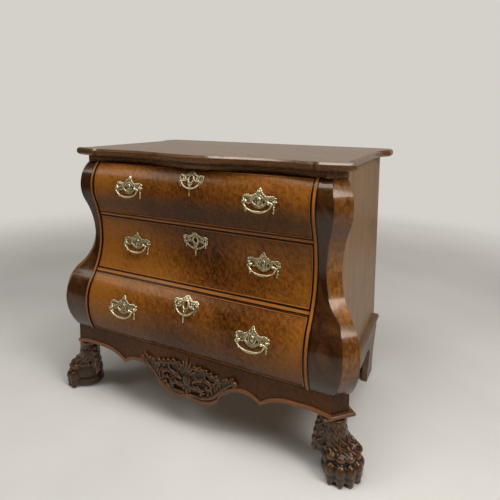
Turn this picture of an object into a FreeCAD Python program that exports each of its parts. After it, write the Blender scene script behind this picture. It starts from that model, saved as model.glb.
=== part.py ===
import FreeCAD, Part
import math
import os
import re
import Sketcher
from FreeCAD import Placement, Rotation, Vector

# Bombe chest of three long drawers: S-shaped front, diagonal corner posts,
# serpentine moulded top, shaped apron, two carved paw feet in front and
# bracket feet behind.  Millimetres, +Z up, front towards -Y, standing on Z = 0.
#
# Depths are measured from the waist plane, the flat vertical plane that the
# drawer fronts touch at their hollow.  Pieces of a corner are drawn in the
# corner's own frame, turned 45 degrees about the post axis, and mirrored.

# A size given as text follows the sizes it names.
SIZES = [
    # overall
    ("height", 800),          # floor to the top's upper face
    ("plan_depth", 547),      # waist plane to the rear edge of the top
    ("side_out", 412),        # centre to the outer face of a side panel
    ("side_thick", 18),
    ("back_in", 18),          # side panels' rear edge, inside the top's rear edge
    ("back_thick", 12),
    # front profile, seen from the side
    ("waist_z", "height*0.65"),
    ("belly_z", "height*0.40625"),
    ("bulge_z", "height*0.86"),
    ("belly_swing", 68),      # how far the belly stands out from the waist
    ("bulge_swing", 37),
    ("belly_low_r", "height*0.23"),
    ("belly_high_r", "height*0.1475"),
    ("bulge_low_r", "height*0.14125"),
    ("bulge_high_r", "height*0.11875"),
    # diagonal corner posts
    ("post_axis", "side_out-4"),       # where the diagonal crosses the waist plane
    ("post_inset", 18.4),     # waist of the post behind that crossing
    ("post_half", 26),
    ("post_back", 70),
    ("cant_belly", 93),
    ("cant_bulge", 43),
    ("cant_low_r", "height*0.17875"),
    ("bead_wide", 10.5),
    ("bead_proud", 5),
    ("panel_proud", 2),
    # drawers
    ("drawer_half", "side_out-64"),
    ("side_gap", 2.5),
    ("gap", 2),
    ("drawer3_high", "height*0.22375"),
    ("drawer2_high", "height*0.203125"),
    ("front1_back", 12),      # inner face of each drawer front, behind the waist plane
    ("front2_back", 20),
    ("front3_back", -12),
    ("edge_wide", 3.5),       # bead round each drawer front
    ("edge_proud", 2),
    ("box_gap", 4),           # drawer side inside the drawer front's end
    ("lining", 11),
    ("drawer_deep", "plan_depth-59"),     # waist plane to the back of the drawers
    ("bottom_thick", 7),
    ("bottom_up", 8),
    ("side_down", 14),
    ("run_gap", 0.3),
    ("rail_thick", 10),
    ("runner_in", "drawer_half-48"),
    ("guide_high", 25),
    ("guide_gap", 1),
    # locks
    ("lock_half", 30),
    ("lock_high", 40),
    ("lock_thick", 11),
    ("lock_down", 8),
    ("bolt_half", 7),
    ("bolt_thick", 5),
    ("bolt_high", 28),
    ("bolt_deep", 8),         # bolt's front face before the lock's inner face
    ("bolt_gap", 0.3),
    ("mortise_deep", 8.5),
    ("key1_down", 25),
    ("key2_down", 35),
    ("key3_down", 30),
    ("key_bore", 2.6),
    ("key_long", 9),
    # handles and escutcheons
    ("handle_x", "drawer_half*0.6063"),
    ("handle1_down", 64),
    ("handle2_down", 72),
    ("handle3_down", 74),
    ("brass_thick", 2),
    ("plate_half", 52),       # handle plates, from their centre
    ("plate_up", 30),
    ("plate_down", 31),
    ("scutcheon_half", 42),   # escutcheons, from the keyhole
    ("scutcheon_up", 21),
    ("scutcheon_down", 49),
    ("pierce", 4.5),
    ("stud_x", 31.5),
    ("stud_down", 2),
    ("stud_reach", 14),
    ("stud_bore", 2.9),
    ("stud_ball", 4.6),
    ("stud_shank", 3),
    ("bail_wire", 2.5),
    ("bail_half", 41),
    ("bail_drop", 29),
    # top and cornice
    ("top_thick", 21),
    ("cornice_high", 19),
    ("top_front", 50),        # middle of the front edge before the waist plane
    ("swell_x", "drawer_half*0.3"),         # middle swell, where it turns into the hollows
    ("swell_y", 37),
    ("swell_r", "side_out*1.044"),
    ("hollow_r", "side_out*1.262"),
    ("ear_x", "post_axis-64"),           # front ears, over the corner posts
    ("ear_y", 35),
    ("ear_tip_x", "post_axis+41"),
    ("ear_tip_y", 8),
    ("ear_r", 170),
    ("nick_wide", 13),
    ("nick_deep", 7),
    ("flank_x", "side_out+17"),         # straight side edges
    ("rear_ear_x", "side_out+44"),
    ("rear_ear_long", 150),
    ("rear_corner", 30),
    ("cornice_in", 16),
    ("cornice_back", 60),
    ("neck_half", 34),
    ("neck_front", 2),
    ("neck_back", 56),
    # base
    ("base_top", "height*0.29"),
    ("apron_half", "post_axis+10"),
    ("apron_front", 44),
    ("apron_thick", 22),
    ("apron_end_z", "cap_z+cap_thick+0.5"),
    ("notch_z", "height*0.13125"),
    ("lobe_x", "drawer_half*0.2787"),
    ("lobe_z", "height*0.14625"),
    ("cusp_x", "drawer_half*0.6494"),
    ("cusp_z", "height*0.1875"),
    ("crest_x", "drawer_half*0.934"),
    ("crest_z", "height*0.2225"),
    ("lobe_r", "drawer_half*0.27"),
    ("arch_r", "drawer_half*0.2385"),
    ("crest_r", "drawer_half*0.411"),
    ("end_r", "drawer_half*0.718"),
    ("rim_wide", 11),
    ("rim_proud", 3),
    ("block_in", 26),
    ("block_out", 35),
    ("block_front", 20.3),
    ("block_back", 50),
    ("cap_z", "height*0.1975"),
    ("cap_thick", 12),
    ("cap_proud", 10),
    ("cap_side", 14),
    ("cap_wing", 5),          # depth of the cap's wide part behind the post axis
    ("floor_thick", 18),
    # bracket feet and side base
    ("side_base", "height*0.245"),
    ("base_out", "side_out+11"),
    ("foot_out", "side_out"),
    ("side_bead", "side_out+18"),
    ("side_bead_high", 16),
    ("plumb", 30),            # upright band of the side apron above its batter
    ("bracket_y", "plan_depth-92"),
    ("bracket_z", "height*0.11875"),
    ("bracket_lean", 14),
    ("arch_rise", 12),
    ("arch_y", "plan_depth-190"),
    ("arch_z", "height*0.16"),
    ("spandrel_r", 75),
    ("batter_r", 1600),
    ("return_wide", 94),
    ("return_foot", 40),
    ("return_thick", 22),
    # paw feet
    ("paw_x", 20),            # middle of the paw, sideways from the post axis
    ("paw_y", 12),            # and outwards
    ("paw_r", 47),
    ("ankle_r", 29),
    ("toe_reach", 47),
    ("toe_r", 12.5),
    # carved shield on the apron
    ("shield_z", "height*0.2025"),
    ("shield_high", 60),
    ("shield_proud", 6),
    ("boss_r", 25),
    ("boss_proud", 13),
    ("knob_x", "drawer_half*0.44"),
    ("knob_z", "height*0.24"),
    ("knob_r", 9),
    ("scroll_wide", 15),
    ("scroll_proud", 9),
]

doc = FreeCAD.newDocument("bombe_chest")
sheet = doc.addObject("Spreadsheet::Sheet", "d")
for row, (alias, value) in enumerate(SIZES, 1):
    sheet.set(f"A{row}", alias)
    sheet.setAlias(f"B{row}", alias)
for row, (alias, value) in enumerate(SIZES, 1):
    sheet.set(f"B{row}", f"={value}")
doc.recompute()
NAMES = {alias for alias, value in SIZES}

# The finished chest is centred on its overall depth, from the front of the
# lowest bails to the rear edge of the top.
FRONT = "((belly_swing+stud_reach+stud_ball-plan_depth)/2)"
INNER = "(side_out-side_thick)"
OPENING = "(drawer_half+side_gap)"
BACK = "(plan_depth-back_in)"
BACK_FACE = "(plan_depth-back_in-back_thick)"
UNDER_TOP = "(height-top_thick)"
UNDER_CORNICE = "(height-top_thick-cornice_high)"
BLOCK_LINE = "(post_axis+block_out*sqrt(2))"
POST_LINE = "(post_axis+post_half*sqrt(2))"

FAR = "plan_depth"        # safely past every front surface
NEAR = 1e-4               # edges this close to a height lie at it

LOW3 = "(base_top+gap)"
HIGH3 = f"({LOW3}+drawer3_high)"
RAIL_LOW = f"({HIGH3}+gap)"
LOW2 = f"({RAIL_LOW}+rail_thick+gap)"
HIGH2 = f"({LOW2}+drawer2_high)"
RAIL_HIGH = f"({HIGH2}+gap)"
LOW1 = f"({RAIL_HIGH}+rail_thick+gap)"
HIGH1 = f"({UNDER_CORNICE}-gap)"


def ex(text):
    """Expression with each size name read from the sheet."""
    return re.sub(r"[A-Za-z_]\w*",
                  lambda m: "d." + m.group(0) if m.group(0) in NAMES else m.group(0),
                  str(text))


def val(text):
    found = sheet.evalExpression(ex(text))
    return float(getattr(found, "Value", found))


def bind(obj, **sizes):
    for prop, text in sizes.items():
        obj.setExpression(prop, ex(text))
    return obj


def place(obj, x, y, z, cant=False, turn=None):
    """Put an object's own origin at x, y, z, in the corner's frame if cant."""
    rotation = turn or Rotation()
    if cant:
        rotation = Rotation(Vector(0, 0, 1), 45).multiply(rotation)
        x, y = (f"post_axis+(({x})-({y}))*cos(45)", f"(({x})+({y}))*cos(45)")
    obj.Placement = Placement(Vector(), rotation)
    obj.setExpression("Placement.Base.x", ex(x))
    obj.setExpression("Placement.Base.y", ex(f"{FRONT}+{y}"))
    obj.setExpression("Placement.Base.z", ex(z))
    return obj


def box(name, x0, x1, y0, y1, z0, z1, cant=False):
    b = doc.addObject("Part::Box", name)
    bind(b, Length=f"({x1})-({x0})", Width=f"({y1})-({y0})", Height=f"({z1})-({z0})")
    return place(b, x0, y0, z0, cant)


def rod(name, axis, radius, length, x, y, z, flats=0):
    """Bar from x, y, z along the axis X or -Y, round or with that many flats."""
    turn = {"X": Rotation(Vector(0, 1, 0), 90), "-Y": Rotation(Vector(1, 0, 0), 90)}[axis]
    if flats:
        bar = doc.addObject("Part::Prism", name)
        bar.Polygon = flats
        bind(bar, Circumradius=radius, Height=length)
    else:
        bar = doc.addObject("Part::Cylinder", name)
        bind(bar, Radius=radius, Height=length)
    return place(bar, x, y, z, turn=turn)


def chain(kind, name, first, rest):
    for number, tool in enumerate(rest, 1):
        step = doc.addObject(kind, f"{name}_{number}")
        step.Base = first
        step.Tool = tool
        first = step
    return first


def cut(name, first, *rest):
    return chain("Part::Cut", name, first, rest)


def common(name, first, *rest):
    return chain("Part::Common", name, first, rest)


def fuse(name, *parts):
    both = doc.addObject("Part::MultiFuse", name)
    both.Shapes = list(parts)
    return both


def mirror(name, source):
    other = doc.addObject("Part::Mirroring", name)
    other.Source = source
    other.Normal = Vector(1, 0, 0)
    return other


def new_body(name, cant=False, x="0", y="0", turn=None):
    body = doc.addObject("PartDesign::Body", name)
    return place(body, x, y, "0", cant, turn)


def draw(body, name, role, points, bends=None, closed=True):
    """Sketch on one of the body's origin planes.  The points are joined by
    straight lines, or by an arc where bends gives a radius and the side its
    centre lies on (1 left of the way along, -1 right)."""
    bends = bends or {}
    sketch = body.newObject("Sketcher::SketchObject", name)
    plane = next(f for f in body.Origin.OriginFeatures if f.Role == role)
    sketch.AttachmentSupport = [(plane, "")]
    sketch.MapMode = "FlatFace"
    spots = [Vector(val(x), val(y), 0) for x, y in points]
    count = len(spots) if closed else len(spots) - 1
    rules = []
    tied = []
    starts = []
    ends = []
    for i in range(count):
        a = spots[i]
        b = spots[(i + 1) % len(spots)]
        if i in bends:
            radius = val(bends[i][0])
            side = bends[i][1]
            chord = b - a
            rise = math.sqrt(max(radius ** 2 - (chord.Length / 2) ** 2, 0))
            left = Vector(-chord.y, chord.x, 0).normalize()
            centre = (a + b) * 0.5 + left * (rise * side)
            first, last = (a, b) if side > 0 else (b, a)
            angle0 = math.atan2(first.y - centre.y, first.x - centre.x)
            angle1 = math.atan2(last.y - centre.y, last.x - centre.x)
            circle = Part.Circle(centre, Vector(0, 0, 1), radius)
            sketch.addGeometry(Part.ArcOfCircle(circle, angle0, angle1), False)
            starts.append(1 if side > 0 else 2)
            ends.append(2 if side > 0 else 1)
        else:
            sketch.addGeometry(Part.LineSegment(a, b), False)
            starts.append(1)
            ends.append(2)
    for i in range(count):
        if closed or i < count - 1:
            j = (i + 1) % count
            rules.append(Sketcher.Constraint("Coincident", i, ends[i], j, starts[j]))
    for i, (x, y) in enumerate(points):
        edge, end = (i, starts[i]) if i < count else (i - 1, ends[i - 1])
        for kind, text, value in (("DistanceX", x, spots[i].x), ("DistanceY", y, spots[i].y)):
            rules.append(Sketcher.Constraint(kind, -1, 1, edge, end, value))
            tied.append((len(rules) - 1, text))
    for i, (text, side) in bends.items():
        rules.append(Sketcher.Constraint("Radius", i, val(text)))
        tied.append((len(rules) - 1, text))
    sketch.addConstraint(rules)
    for number, text in tied:
        sketch.setExpression(f"Constraints[{number}]", ex(text))
    return sketch


def slab(name, plane, points, bends, low, high, *spot, **facing):
    """Body padded from a sketch in plane XY, XZ or YZ, from low to high along
    the plane's own axis.  What follows places the body, as in new_body."""
    body = new_body(name, *spot, **facing)
    sketch = draw(body, name + "_sketch", plane + "_Plane", points, bends)
    start = f"-({high})" if plane == "XZ" else low
    sketch.setExpression("AttachmentOffset.Base.z", ex(start))
    pad = body.newObject("PartDesign::Pad", name + "_pad")
    pad.Profile = sketch
    bind(pad, Length=f"({high})-({low})")
    return body


def eased(body, name, size, level, chosen=lambda bounds: True, kind="Chamfer", axis="Z"):
    """Chamfer or fillet the edges of a body that lie at a level along an axis."""
    doc.recompute()
    tip = body.Tip
    edges = []
    for number, edge in enumerate(tip.Shape.Edges, 1):
        bounds = edge.BoundBox
        ends = (getattr(bounds, axis + "Min"), getattr(bounds, axis + "Max"))
        if all(abs(end - val(level)) < NEAR for end in ends) and chosen(bounds):
            edges.append(f"Edge{number}")
    edge = body.newObject("PartDesign::" + kind, name)
    edge.Base = (tip, edges)
    bind(edge, **{"Size" if kind == "Chamfer" else "Radius": size})
    body.Tip = edge
    return body


def form(name, proud, x0, x1, back, z0, z1, cant=False):
    """Solid behind the S-shaped front surface, or behind the post's own
    surface in the corner's frame.  Every arc is tangent to the next: each one
    at the hollow takes the radius that the arcs beside it leave."""
    belly, bulge, low_r = ("belly_swing", "bulge_swing", "belly_low_r")
    if cant:
        belly, bulge, low_r = ("cant_belly", "cant_bulge", "cant_low_r")
    sum1 = f"(((waist_z-belly_z)^2+{belly}^2)/(2*{belly}))"
    sum2 = f"(((bulge_z-waist_z)^2+{bulge}^2)/(2*{bulge}))"
    foot = f"{belly}-{low_r}+sqrt({low_r}^2-(belly_z-({z0}))^2)"
    head = f"{bulge}-bulge_high_r+sqrt(bulge_high_r^2-(({z1})-bulge_z)^2)"
    points = [
        (back, z0),
        (f"-({proud}+{foot})", z0),
        (f"-({proud}+{belly})", "belly_z"),
        (f"-({proud}+{belly}*(1-belly_high_r/{sum1}))",
         f"belly_z+(waist_z-belly_z)*belly_high_r/{sum1}"),
        (f"-({proud})", "waist_z"),
        (f"-({proud}+{bulge}*(1-bulge_low_r/{sum2}))",
         f"bulge_z-(bulge_z-waist_z)*bulge_low_r/{sum2}"),
        (f"-({proud}+{bulge})", "bulge_z"),
        (f"-({proud}+{head})", z1),
        (back, z1),
    ]
    bends = {
        1: (low_r, -1),
        2: ("belly_high_r", -1),
        3: (f"{sum1}-belly_high_r", 1),
        4: (f"{sum2}-bulge_low_r", 1),
        5: ("bulge_low_r", -1),
        6: ("bulge_high_r", -1),
    }
    return slab(name, "YZ", points, bends, x0, x1, cant)


nodes = []


def node(name, obj):
    obj.Label = name
    nodes.append(obj)
    return obj


def pair(name, right):
    """A right-hand piece and its mirror image, each a node."""
    node(name + "_right", right)
    return node(name + "_left", mirror(name + "_other", right))


def both(name, right):
    """A right-hand piece and its mirror image in one node."""
    return node(name, fuse(name + "_both", right, mirror(name + "_other", right)))


# ---- corner posts, their front panels and beads --------------------------------

face = form("face", "0", f"-{FAR}", FAR, "post_back", "base_top", UNDER_CORNICE)
diagonal = form("diagonal", "-post_inset", f"-{FAR}", "post_half", FAR,
                "base_top", UNDER_CORNICE, cant=True)
side_zone = box("side_zone", OPENING, FAR, f"-{FAR}", "post_back", "base_top", UNDER_CORNICE)
pair("corner_post", common("corner_post", diagonal, face, side_zone))

bead_form = form("bead_form", "bead_proud", OPENING, f"{OPENING}+bead_wide", "post_back",
                 "base_top", UNDER_CORNICE)
both("post_beads", cut("bead", bead_form, face))

panel_form = form("panel_form", "panel_proud", f"{OPENING}+bead_wide", FAR,
                  "post_back", "base_top", UNDER_CORNICE)
panel_cant = common("panel_cant", panel_form, diagonal)
both("post_panels", cut("panel", panel_cant, face))

# ---- side panels, back, rails, runners, guides ----------------------------------

block = box("block", "-block_in", "block_out", "-block_front", "block_back",
            "cap_z+cap_thick", "base_top", cant=True)
both("foot_blocks", block)
board = slab("side_board", "XY", [
    ("side_out", f"{POST_LINE}-side_out"),
    ("side_out", BACK),
    (INNER, BACK),
    (INNER, f"{POST_LINE}-{INNER}"),
], {}, "side_base", UNDER_TOP)
pair("side_panel", cut("side_panel", board, block))

BOARD = f"(2*{INNER}-2)/3"
boards = [box(f"back_{i}", f"-{INNER}+{i}*({BOARD}+1)", f"-{INNER}+{i}*({BOARD}+1)+{BOARD}",
              BACK_FACE, BACK, "side_base", UNDER_TOP) for i in range(3)]
node("back_boards", fuse("back_all", *boards))


def bolt_hole(name, back, low, high, slack):
    return box(name, f"-bolt_half-{slack}", f"bolt_half+{slack}",
               f"{back}-bolt_deep-{slack}", f"{back}-bolt_deep+bolt_thick+{slack}", low, high)


for name, low, back in (("rail_lower", RAIL_LOW, "front3_back"),
                        ("rail_upper", RAIL_HIGH, "front2_back")):
    blank = box(name + "_blank", f"-{OPENING}", OPENING, f"-{FAR}", "post_back",
                low, f"{low}+rail_thick")
    rail = common(name, face, blank)
    node(name, cut(name + "_cut", rail, bolt_hole(name + "_mortise", back, f"{low}-1",
                                                  f"{low}+mortise_deep", "bolt_gap*2")))

runners = [box(f"runner_{i}", "runner_in", INNER, "post_back", BACK_FACE, low, f"{low}+rail_thick")
           for i, low in enumerate((RAIL_LOW, RAIL_HIGH))]
both("drawer_runners", fuse("runners", *runners))

GUIDE_IN = "(drawer_half-box_gap+guide_gap)"
guides = [box(f"guide_{i}", GUIDE_IN, INNER, "post_back", "drawer_deep-8", low, f"{low}+guide_high")
          for i, low in enumerate(("base_top", f"{RAIL_LOW}+rail_thick", f"{RAIL_HIGH}+rail_thick"))]
both("drawer_guides", fuse("guides", *guides))

both("top_kickers", box("kicker", "runner_in+20", INNER, "post_back", BACK_FACE,
                        f"{HIGH1}-side_down+gap", UNDER_TOP))

FLOOR_IN = "(post_axis-56)"
node("bottom_board", slab("bottom_board", "XY", [
    (f"-{FLOOR_IN}", "-apron_front+apron_thick"),
    (FLOOR_IN, "-apron_front+apron_thick"),
    (FLOOR_IN, "post_back"),
    (INNER, "post_back"),
    (INNER, BACK_FACE),
    (f"-{INNER}", BACK_FACE),
    (f"-{INNER}", "post_back"),
    (f"-{FLOOR_IN}", "post_back"),
], {}, "base_top-floor_thick", "base_top"))

# ---- top and cornice -------------------------------------------------------------


def shaped_front(inset):
    """Right half of the serpentine front, from the middle to the ear."""
    return [
        ("0", f"-top_front+{inset}"),
        ("swell_x", f"-swell_y+{inset}"),
        ("ear_x", f"-ear_y+{inset}"),
    ]


FRONT_ARCS = {0: ("swell_r", 1), 1: ("hollow_r", -1)}


def both_halves(right, bends):
    """Full outline from a right half that starts on the middle line."""
    left = [(f"-({x})", y) for x, y in reversed(right[1:]) if x != "0"]
    size = len(right) + len(left)
    whole = dict(bends)
    for i, (radius, side) in bends.items():
        whole[size - 1 - i] = (radius, side)
    return right + left, whole


top_half = shaped_front("0") + [
    ("ear_x+nick_wide/2", "-ear_y+nick_deep"),
    ("ear_x+nick_wide", "-ear_y"),
    ("ear_tip_x", "-ear_tip_y"),
    ("flank_x-nick_deep/2", "ear_tip_y+nick_wide*1.7"),
    ("flank_x", "ear_tip_y+nick_wide*2.6"),
    ("flank_x", "plan_depth-rear_ear_long"),
    ("rear_ear_x", "plan_depth-rear_ear_long/2"),
    ("rear_ear_x", "plan_depth-rear_corner"),
    ("rear_ear_x-rear_corner", "plan_depth"),
]
top_bends = {4: ("ear_r", 1), 8: ("ear_r", -1), 10: ("rear_corner", 1)} | FRONT_ARCS
top_points, top_arcs = both_halves(top_half, top_bends)
top = slab("top_board", "XY", top_points, top_arcs, UNDER_TOP, "height")
eased(top, "top_edge", "top_thick/4", "height")
eased(top, "top_under", "top_thick/4", UNDER_TOP)
node("top_board", top)

cornice_half = shaped_front("cornice_in") + [
    ("post_axis-neck_half*sqrt(2)+ear_y-cornice_in", "-ear_y+cornice_in"),
    ("post_axis-neck_half*sqrt(2)-cornice_back", "cornice_back"),
]
cornice_points, cornice_arcs = both_halves(cornice_half, FRONT_ARCS)
cornice = slab("cornice_board", "XY", cornice_points, cornice_arcs, UNDER_CORNICE, UNDER_TOP)
eased(cornice, "cornice_edge", "cornice_high/2", UNDER_CORNICE, lambda b: b.YMax < 0)
node("cornice", cut("cornice_cut", cornice,
                    bolt_hole("cornice_mortise", "front1_back", f"{UNDER_CORNICE}-1",
                              f"{UNDER_CORNICE}+mortise_deep", "bolt_gap*2")))

both("cornice_necks", box("neck", "-neck_half", "post_half", "neck_front", "neck_back",
                          UNDER_CORNICE, UNDER_TOP, cant=True))

# ---- base: apron, corner blocks, caps --------------------------------------------

apron_half = [
    ("0", "notch_z"),
    ("lobe_x", "lobe_z"),
    ("cusp_x", "cusp_z"),
    ("crest_x", "crest_z"),
    ("apron_half", "apron_end_z"),
]
apron_bends = {0: ("lobe_r", 1), 1: ("arch_r", -1), 2: ("crest_r", -1), 3: ("end_r", -1)}


def apron_outline(lift, top_z):
    """Shaped lower edge, lifted by the given amount, below a straight top."""
    half = [(x, f"{z}+{lift}") for x, z in apron_half] + [("apron_half", top_z)]
    return both_halves(half, apron_bends)


apron_points, apron_arcs = apron_outline("0", "base_top")
apron = slab("apron", "XZ", apron_points, apron_arcs, "-apron_front", "-apron_front+apron_thick")
corner = box("corner_clear", "-block_in", "block_out", f"-{FAR}", "block_back",
             "0", "base_top+gap", cant=True)
corner_other = mirror("corner_clear_other", corner)
node("front_apron", cut("front_apron", apron, corner, corner_other))

rim = slab("rim", "XZ", apron_points, apron_arcs, "-apron_front-rim_proud", "-apron_front")
lifted_points, lifted_arcs = apron_outline("rim_wide", "base_top+gap")
above_rim = slab("above_rim", "XZ", lifted_points, lifted_arcs,
                 "-apron_front-rim_proud-gap", "-apron_front+gap")
node("apron_rim", cut("apron_rim", rim, above_rim, corner, corner_other))

CAP_FRONT = "(-block_front-cap_proud)"
cap = slab("foot_cap", "XY", [
    ("-block_in-cap_side", CAP_FRONT),
    ("block_out+cap_side", CAP_FRONT),
    ("block_out+cap_side", "cap_wing"),
    ("block_out", "cap_wing"),
    ("block_out", "block_back"),
    ("-block_in", "block_back"),
    ("-block_in", "cap_wing"),
    ("-block_in-cap_side", "cap_wing"),
], {}, "cap_z", "cap_z+cap_thick", cant=True)
for name, level in (("cap_over", "cap_z+cap_thick"), ("cap_under", "cap_z")):
    eased(cap, name, "cap_thick/2.5", level, lambda b: b.YMin < 0, "Fillet")
both("foot_caps", cap)

# ---- side base and bracket feet ----------------------------------------------------

side_plan = [
    (INNER, f"{BLOCK_LINE}-{INNER}"),
    ("base_out", f"{BLOCK_LINE}-base_out"),
    ("base_out", BACK),
    (INNER, BACK),
]
side_blank = slab("side_blank", "XY", side_plan, {}, "0", "side_base")
arch = slab("side_arch", "YZ", [
    ("-apron_front", "-gap"),
    ("bracket_y-bracket_lean", "-gap"),
    ("bracket_y", "bracket_z"),
    ("arch_y", "arch_z"),
    ("-apron_front", "arch_z+arch_rise"),
], {2: ("spandrel_r", 1)}, f"{INNER}-gap", "base_out+gap")
batter = slab("side_batter", "XZ", [
    ("foot_out", "-gap"),
    ("base_out*2", "-gap"),
    ("base_out*2", "side_base-plumb"),
    ("base_out", "side_base-plumb"),
], {3: ("batter_r", 1)}, "-apron_front", f"{BACK}+gap")
pair("side_apron", cut("side_apron", side_blank, arch, batter))

moulding = slab("side_moulding", "XY", [
    ("side_out", f"{BLOCK_LINE}-side_out"),
    ("side_bead", f"{BLOCK_LINE}-side_bead"),
    ("side_bead", BACK),
    ("side_out", BACK),
], {}, "side_base", "side_base+side_bead_high")
for name, level in (("moulding_over", "side_base+side_bead_high"),
                    ("moulding_under", "side_base")):
    eased(moulding, name, "side_bead_high/2.5", level,
          lambda b: b.XMin > val("side_bead-gap"), "Fillet")
both("side_mouldings", moulding)

both("rear_foot_brackets", slab("rear_bracket", "XZ", [
    (INNER, "0"),
    (INNER, "side_base"),
    (f"{INNER}-return_wide", "side_base"),
    (f"{INNER}-return_wide", "arch_z+arch_rise"),
    (f"{INNER}-return_foot", "bracket_z/2"),
    (f"{INNER}-return_foot", "0"),
], {3: ("return_wide", -1)}, f"{BACK}-return_thick", BACK))

# ---- paw feet ------------------------------------------------------------------------


# Levels of the leg: radius, sideways and outwards from the post axis, height.
LEG = [
    ("paw_r*0.92", "paw_x", "paw_y", "0"),
    ("paw_r", "paw_x", "paw_y", "cap_z*0.12"),
    ("paw_r*0.96", "paw_x", "paw_y", "cap_z*0.32"),
    ("paw_r*0.76", "paw_x*0.5", "paw_y*0.7", "cap_z*0.54"),
    ("ankle_r", "paw_x*0.15", "paw_y*0.4", "cap_z*0.76"),
    ("ankle_r", "0", "paw_y/3", "cap_z*0.93"),
    ("ankle_r+4", "0", "paw_y/3", "cap_z"),
]


def flank(number):
    """The leg's outline seen square to one pair of its flat sides."""
    angle = 180 * number / LEG_PAIRS
    sides = {1: [], -1: []}
    for radius, x, y, z in LEG:
        middle = f"({x})*cos({angle})-({y})*sin({angle})"
        for side in sides:
            sides[side].append((f"{middle}+{side}*{radius}", z))
    return slab(f"leg_{number}", "XZ", sides[1] + sides[-1][::-1], {}, "-2*paw_r", "2*paw_r",
                cant=True, turn=Rotation(Vector(0, 0, 1), angle))


def toe(number):
    """Toe and its knuckle: a profile as thick as the toe, its edges eased."""
    angle = (number - 2) * TOE_SPREAD
    body = slab(f"toe_{number}", "XZ", [
        ("toe_reach*0.5", "0"),
        ("toe_reach+toe_r*0.45", "0"),
        ("toe_reach+toe_r*0.95", "toe_r*0.8"),
        ("toe_reach+toe_r", "toe_r*2.2"),
        ("toe_reach+toe_r*0.5", "toe_r*3.4"),
        ("toe_reach-toe_r*0.2", "toe_r*3.9"),
        ("toe_reach", "toe_r*4.6"),
        ("toe_reach-toe_r*0.6", "toe_r*5.5"),
        ("toe_reach*0.5", "toe_r*5.9"),
    ], {}, "-toe_r", "toe_r", cant=True, x="paw_x", y="-paw_y",
        turn=Rotation(Vector(0, 0, 1), angle - 90))
    for side in ("-toe_r", "toe_r"):
        eased(body, f"toe_{number}_{side[0]}", "toe_r*0.45", side,
              lambda b: b.XMax > val("toe_reach*0.6") and b.ZMax > NEAR, axis="Y")
    return body


LEG_PAIRS = 6             # pairs of flat sides round the leg
TOE_SPREAD = 31           # degrees from one toe to the next
leg = common("paw_leg", *[flank(number) for number in range(LEG_PAIRS)])
pair("paw_foot", fuse("paw_foot", leg, *[toe(number) for number in range(5)]))

# ---- carved shield on the apron ---------------------------------------------------------

LIFT = "(rim_wide+gap)"
shield_points, shield_arcs = both_halves([
    ("0", f"notch_z+{LIFT}"),
    ("lobe_x*0.4", f"notch_z+{LIFT}"),
    ("lobe_x*0.9", f"lobe_z+{LIFT}+2"),
    ("knob_x*0.8", f"shield_z+{LIFT}"),
    ("knob_x", "knob_z-knob_r"),
    ("knob_x", "knob_z+knob_r/2"),
    ("knob_x*0.75", "knob_z"),
    ("knob_x*0.5", "knob_z+knob_r*1.5"),
    ("boss_r*0.8", "knob_z+knob_r*2"),
    ("0", "shield_z+shield_high"),
], {})
shield = slab("shield", "XZ", shield_points, shield_arcs,
              "-apron_front-shield_proud", "-apron_front")


boss = rod("boss", "-Y", "boss_r", "boss_proud", "0", "-apron_front", "shield_z", 10)
knob = rod("knob", "-Y", "knob_r", "boss_proud", "knob_x", "-apron_front", "knob_z", 8)
scroll = slab("scroll", "XZ", [
    ("lobe_x*0.1", f"notch_z+{LIFT}+2"),
    ("lobe_x*0.45", f"notch_z+{LIFT}+1"),
    ("lobe_x", f"lobe_z+{LIFT}+6"),
    ("knob_x*0.83", f"shield_z+{LIFT}+4"),
    ("knob_x-knob_r", "knob_z+knob_r/2"),
    ("knob_x*0.74", f"shield_z+{LIFT}+scroll_wide"),
    ("lobe_x*0.85", f"lobe_z+{LIFT}+scroll_wide"),
    ("lobe_x*0.45", f"notch_z+{LIFT}+scroll_wide"),
    ("lobe_x*0.1", f"notch_z+{LIFT}+scroll_wide"),
], {}, "-apron_front-scroll_proud", "-apron_front")
node("apron_cartouche", fuse("cartouche", shield, boss, knob, mirror("knob_other", knob),
                             scroll, mirror("scroll_other", scroll)))

# ---- drawers ------------------------------------------------------------------------------

plate_form = form("plate_form", "brass_thick", "-drawer_half", "drawer_half", "post_back",
                  "base_top", UNDER_CORNICE)

# Right halves of the pierced outlines, from the crown down to the tail, as
# shares of their half width and of their height above and below the centre.
HANDLE = [
    (0, 1), (0.16, 0.5), (0.38, 0.25), (0.87, 0.5), (1, 0.27), (0.87, -1), (0.79, -1),
    (0.75, -0.4), (0.25, -0.3), (0, -0.61),
]
SCUTCHEON = [
    (0, 1), (0.33, 0.38), (1, 0.57), (1, 0), (0.57, -0.49), (0.14, -0.61), (0, -1),
]


def ornament(name, half, size, x, z):
    """Prism of a brass outline about x, z, through the whole drawer front."""
    right = []
    for across, up in half:
        height = f"{size}_up" if up > 0 else f"{size}_down"
        right.append((f"{size}_half*{across}" if across else "0", f"{height}*{up}"))
    points = both_halves(right, {})[0]
    return slab(name, "XZ", [(f"{x}+{px}", f"{z}+{pz}") for px, pz in points], {},
                f"-{FAR}", "0")


def piercing(name, x, z):
    """Opening through a handle plate."""
    return rod(name, "-Y", "pierce", f"2*{FAR}", x, FAR, z, 6)


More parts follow.
